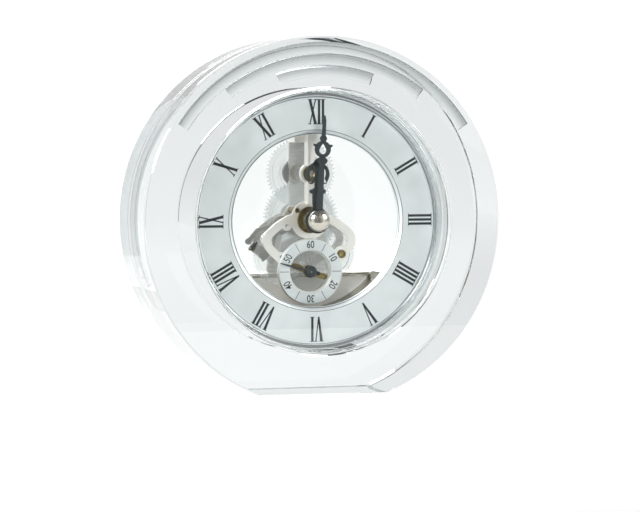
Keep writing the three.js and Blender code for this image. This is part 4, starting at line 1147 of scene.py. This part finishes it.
minute_degrees = 3.65
minute_hub = 4.7
minute_bore = 2.0
loop_place = (0, 29.2)
loop_radius = 3.4
minute_blade = both_sides([
    (1.5, 4.0), (1.3, 14), (1.15, 21), (1.05, 23), (1.8, 23.6), (2.3, 24.4), (2.25, 25.1),
    (1.5, 25.7), (1.0, 26.2),
])
right_loop = np.concatenate([
    arc(loop_place, loop_radius, 178, 76, 14), [(4.1, 30.6), (4.0, 31.3)],
    arc(loop_place, loop_radius, 52, 12, 7),
])
minute_loop = np.concatenate([right_loop, (right_loop * (-1, 1))[::-1]])
minute_window = np.concatenate([arc((0, 28.7), 1.5, 60, 300, 20), [(-0.45, 31.0), (0, 31.5), (0.45, 31.0)]])
minute_tip = both_sides([
    (0.8, 32.3), (1.2, 32.8), (1.55, 33.5), (1.3, 34.2), (0.85, 34.8), (0.8, 36.0), (0.7, 41.0), (0.2, 43.0),
])
pressed_hand("pierced_minute_hand", "minute_hand", "minute", [
    [circle(minute_hub, (0, 0), 72), circle(minute_bore, (0, 0), 48)], [minute_blade],
    [minute_loop, minute_window], [minute_tip],
], (0, 0), minute_degrees)

second_degrees = 285.6
second_blade = both_sides([(0.55, -3.2), (0.45, 0), (0.4, 10), (0.15, 13.7)])
pressed_hand("fine_seconds_hand", "seconds_hand", "seconds", [
    [second_blade], [circle(0.9, (0, -3.1), 24)],
], small_centre, second_degrees)
second_low, second_high = reach("seconds_hand")
second_hub = [
    (0.8, second_low[1]), (2.1, second_low[1]), (2.35, second_low[1] + 0.25), (2.35, second_high[1]),
    (0.8, second_high[1]),
]
piece("seconds_hand_hub", [turned(second_hub, small_centre, 48)], black_enamel, "seconds")

cap_low, cap_high = reach("hand_cap")
cap_radius = cap_high[0]
cap_turn = np.linspace(0, math.pi / 2, 20)
cap_rise = (cap_high[1] - cap_low[1]) * np.cos(cap_turn)
cap_profile = [
    *np.stack([cap_radius * np.sin(cap_turn), cap_high[1] - cap_rise], -1), (0, cap_high[1]),
]

# Polished nickel: a warm mirror, spun smooth.
polished_nickel, tree, shader = new_material("polished_nickel", "#dcd6ca", 0.06, 1.0)
vary_roughness(tree, shader, noise(tree, 0.002), 0.04, 0.1)
piece("domed_hand_cap", [turned(cap_profile, count=96)], polished_nickel, "minute",
      ["hand_cap"])


# ---- Battery housing and its contents ----
# A cast half-moon at the bottom of the bore, plated to match the plates. It holds one cell behind
# a sliding door, the quartz board in its front, and the rear plate's two legs on a ledge.

from_cad("half_moon_housing", "battery_housing", brushed_nickel, "clock", 0.3)

# Shim brass, darkened almost to bronze, lines the curved floor of the pocket.
dark_bronze, tree, shader = new_material("darkened_shim_brass", "#5b543c", 0.22, 1.0)
brushed(tree, shader, "#5e573c", "#3a3524", 0.16, 0.3)
lining_radius = 36.9
lining_thickness = 0.15
lining_front, lining_back = -7.5, 8.2
lining_top = 22.0  # below the clock's axis
lining_steps = 73
lining_reach = math.acos(lining_top / lining_radius)
lining_turn = np.linspace(math.pi - lining_reach, math.pi + lining_reach, lining_steps)[:, None]
lining_profile = np.array([
    (lining_radius, lining_front), (lining_radius, lining_back),
    (lining_radius - lining_thickness, lining_back), (lining_radius - lining_thickness, lining_front),
])
lining = np.stack([
    lining_profile[:, 0] * np.sin(lining_turn),
    np.broadcast_to(lining_profile[:, 1], (lining_steps, 4)),
    lining_profile[:, 0] * np.cos(lining_turn),
], -1)
lining_ends = lining.mean(1, keepdims=True) + 0 * lining
lining = np.concatenate([lining_ends[:1], lining, lining_ends[-1:]])
piece("pocket_lining", [lining], dark_bronze, "clock", crease=30)

# A bright moulding stands along the top edge of the pocket's back wall: a bead, a groove, a bead.
moulding_wall = 9.0
moulding_top = reach("battery_housing")[1][2]
moulding_half = 28.4
moulding_section = [
    (0.0, 0.0), (0.0, -0.55), (-0.1, -0.7), (-0.35, -0.7), (-0.45, -0.6), (-0.5, -0.1),
    (-0.7, -0.08), (-0.75, -0.3), (-1.0, -0.3),
    (-1.05, -0.08), (-1.25, -0.1), (-1.3, -0.55), (-1.4, -0.65), (-1.5, -0.65), (-1.6, -0.5),
    (-1.65, 0.0),
]
section = np.array(moulding_section)
run = np.array([-moulding_half, moulding_half])[:, None]
moulding_grid = np.stack(np.broadcast_arrays(
    run, moulding_wall + section[:, 1], moulding_top + section[:, 0],
), -1)
moulding_ends = moulding_grid.mean(1, keepdims=True) + 0 * moulding_grid
moulding_grid = np.concatenate([moulding_ends[:1], moulding_grid, moulding_ends[1:]])
piece("pocket_moulding", [moulding_grid], polished_nickel, "clock", crease=20)

cell_low, cell_high = reach("battery_cell")
cell_depth = (cell_low[1] + cell_high[1]) / 2
cell_height = (cell_low[2] + cell_high[2]) / 2
cell_radius = (cell_high[1] - cell_low[1]) / 2


def lying(profile, count=64):
    """A profile of [radius, x] carried round the cell's own axis, which runs along X."""
    radius, run = np.array(profile, float).T
    turn = np.linspace(0, 2 * math.pi, count, endpoint=False)[:, None]
    x = np.broadcast_to(run, (count, len(run)))
    return np.stack([x, cell_depth + radius * np.cos(turn), cell_height + radius * np.sin(turn)], -1)


left, right = cell_low[0], cell_high[0]
cell_profile = [
    (0, left), (3.2, left), (3.4, left + 0.25), (cell_radius - 0.5, left + 0.25),
    (cell_radius - 0.15, left + 0.4), (cell_radius, left + 0.7),
    (cell_radius, right - 1.6), (cell_radius - 0.2, right - 1.2),
    (cell_radius - 0.7, right - 1.0), (2.2, right - 0.9), (1.9, right - 0.8), (1.85, right - 0.1),
    (1.7, right), (0, right),
]

# A printed sleeve on a steel can: grey at one end, paler towards the button, glossy.
cell_sleeve, tree, shader = new_material("printed_battery_sleeve", "#6d7276", 0.3, 0.0, Coat_Weight=0.4)
spread = add_node(tree, "SeparateXYZ", {"Vector": add_node(tree, "TexCoord").outputs["Object"]})
sleeve_half = 0.0222
along_cell = add_node(tree, "MapRange", {
    "Value": spread.outputs["X"], "From Min": -sleeve_half, "From Max": sleeve_half,
}).outputs["Result"]
bands = vary_colour(tree, shader, along_cell, "#3b4044", "#b4b0a2", 0.0, 0.7)
bands.color_ramp.interpolation = "CONSTANT"
piece("aaa_cell", [lying(cell_profile)], cell_sleeve, "clock", ["battery_cell"])

from_cad("positive_contact_leaf", "contact_positive", plain_steel, "clock", 0.1)
from_cad("negative_contact_leaf", "contact_negative", plain_steel, "clock", 0.1)

board_low, board_high = reach("circuit_board")

# A green solder-resist over glass cloth: a fine 0.6 mm weave under gloss.
green_board, tree, shader = new_material("green_circuit_board", "#2d6a41", 0.35, Coat_Weight=0.3)
weave = add_node(tree, "TexWave", {
    "Vector": add_node(tree, "TexCoord").outputs["Object"], "Scale": 1 / 0.0006 / 6.28, "Distortion": 0.5,
})
vary_colour(tree, shader, weave.outputs["Fac"], "#275c38", "#35774a")
from_cad("quartz_board", "circuit_board", green_board, "clock", 0.08)
from_cad("quartz_crystal_can", "quartz_can", plain_steel, "clock", 0.15)

# The chip is bonded to the board under a blob of black resin.
blob_centre = (4.5, (board_low[2] + board_high[2]) / 2)
blob_radius = 2.4
blob_height = 0.75
blob_base = board_low[1] + 0.05
blob_turn = np.linspace(0, math.pi / 2, 10)
blob_profile = [
    *np.stack([blob_radius * np.sin(blob_turn), blob_base - blob_height * np.cos(blob_turn)], -1),
    (0, blob_base),
]
piece("resin_blob", [turned(blob_profile, blob_centre, 40)], black_plastic, "clock")


# ---- Battery door ----
# A lid that slides straight out of the back of the housing, with five raised ribs for a
# fingernail. It is moulded and plated to match.

from_cad("plated_battery_door", "battery_door", brushed_nickel, "door", 0.2)
door_low, door_high = reach("battery_door")
rib_count = 5
rib_pitch = 1.7
rib_length = 12.0
rib_radius = 0.45
rib_flatness = 0.7
rib_sink = 0.15
rib_taper = 0.3
rib_drop = 2.5
rib_middle = (door_low[2] + door_high[2]) / 2 - rib_drop
rib_turn = np.linspace(0, 2 * math.pi, 16, endpoint=False)[:, None]
rib_ends = np.array([
    -rib_length / 2, -rib_length / 2 + rib_taper, rib_length / 2 - rib_taper, rib_length / 2,
])
rib_swell = np.array([0.0, 1.0, 1.0, 0.0]) * rib_radius
ribs = []
for number in range(rib_count):
    height = rib_middle + (number - (rib_count - 1) / 2) * rib_pitch
    x = np.broadcast_to(rib_ends, (len(rib_turn), len(rib_ends)))
    y = door_high[1] - rib_sink + rib_swell * np.cos(rib_turn) * rib_flatness
    ribs.append(np.stack([x, y, height + rib_swell * np.sin(rib_turn)], -1))
piece("door_finger_ribs", ribs, brushed_nickel, "door", crease=60)


# ---- Screws ----
# Three cheese-headed steel screws with a straight slot, one in the strap and one in each leg.

slot_width = 0.45
slot_depth = 0.35


def half_moon(side, radius, place):
    """The part of a screw head on one side of its slot."""
    edge = slot_width / 2
    reach_angle = math.degrees(math.acos(edge / radius))
    return arc(place, radius, side * 90 - reach_angle, side * 90 + reach_angle, 20)


for node, name in (
    ("strap_screw", "slotted_strap_screw"), ("leg_screw_left", "slotted_left_screw"),
    ("leg_screw_right", "slotted_right_screw"),
):
    low, high = reach(node)
    place = middle_of(node)
    head = (high[0] - low[0]) / 2
    head_front = high[1] - 0.7
    stem_profile = [
        (0, low[1]), (0.6, low[1]), (0.8, low[1] + 0.3), (0.8, head_front), (head - 0.1, head_front),
        (head, head_front + 0.1), (head, high[1] - slot_depth), (0, high[1] - slot_depth),
    ]
    slot_floor = high[1] - slot_depth
    tops = [
        flat_sheet([half_moon(side, head, place)], slot_floor - 0.02, high[1]) for side in (-1, 1)
    ]
    mesh = gathered(name, [mesh_from([turned(stem_profile, place, 40)]), *tops])
    break_edges(placed(name, mesh, plain_steel, "clock", [node]), 0.08)


# ---- Rear ring, rear cover and setting knob ----
# A bright ring like the bezel closes the back of the bore round a cover of clear acrylic. The
# time is set with a knurled knob on the minute post, which stands in a hole in the cover.

rear_low, rear_high = reach("rear_ring")
rear_profile = [
    (rear_high[0], rear_low[1]), (rear_high[0], rear_high[1] - 0.25), (rear_high[0] - 0.25, rear_high[1]),
    (lip_inner + 0.3, rear_high[1]), (lip_inner, rear_high[1] - 0.3),
    (lip_inner, rear_high[1] - lip_thickness),
    (wall_inner, rear_high[1] - lip_thickness), (wall_inner, rear_low[1]),
]
piece("rear_bezel", [turned(rear_profile, count=240)], bright_plate, "clock",
      ["rear_ring"])

# Clear acrylic sheet: laser cut, glossy, with faint handling scratches.
clear_acrylic, tree, shader = new_material(
    "clear_acrylic_sheet", "#fbfdfd", 0.0, IOR=1.49, Transmission_Weight=1.0,
)
aslant = add_node(tree, "Mapping", {
    "Vector": add_node(tree, "TexCoord").outputs["Object"],
    "Rotation": (0, 0.6, 0), "Scale": (0.05, 1, 1),
}).outputs["Vector"]
vary_roughness(tree, shader, noise(tree, 0.0008, 2.0, aslant), 0.0, 0.06, 0.55, 0.8)
cover = from_cad("acrylic_rear_cover", "rear_cover", clear_acrylic, "clock", 0.15)
cover.visible_shadow = False

knob_low, knob_high = reach("setting_knob")
knob_place = middle_of("setting_knob")
knob_radius = (knob_high[0] - knob_low[0]) / 2
knurls = 36
knurl_depth = 0.3
knob_turn = np.linspace(0, 2 * math.pi, knurls * 8, endpoint=False)[:, None]
knob_profile = np.array([
    (0, knob_low[1], 0), (knob_radius - 0.4, knob_low[1], 0), (knob_radius, knob_low[1] + 0.4, 1),
    (knob_radius, knob_high[1] - 0.5, 1), (knob_radius - 0.5, knob_high[1], 0),
    (knob_radius - 1.6, knob_high[1], 0), (knob_radius - 1.9, knob_high[1] - 0.3, 0),
    (0, knob_high[1] - 0.3, 0),
])
cut = knurl_depth * (0.5 - 0.5 * np.cos(knurls * knob_turn)) * knob_profile[:, 2]
knob_reach = knob_profile[:, 0] - cut
knob_grid = np.stack([
    knob_place[0] + knob_reach * np.sin(knob_turn), np.broadcast_to(knob_profile[:, 1], knob_reach.shape),
    knob_place[1] + knob_reach * np.cos(knob_turn),
], -1)
piece("knurled_setting_knob", [knob_grid], black_plastic, "minute_wheel", ["setting_knob"])
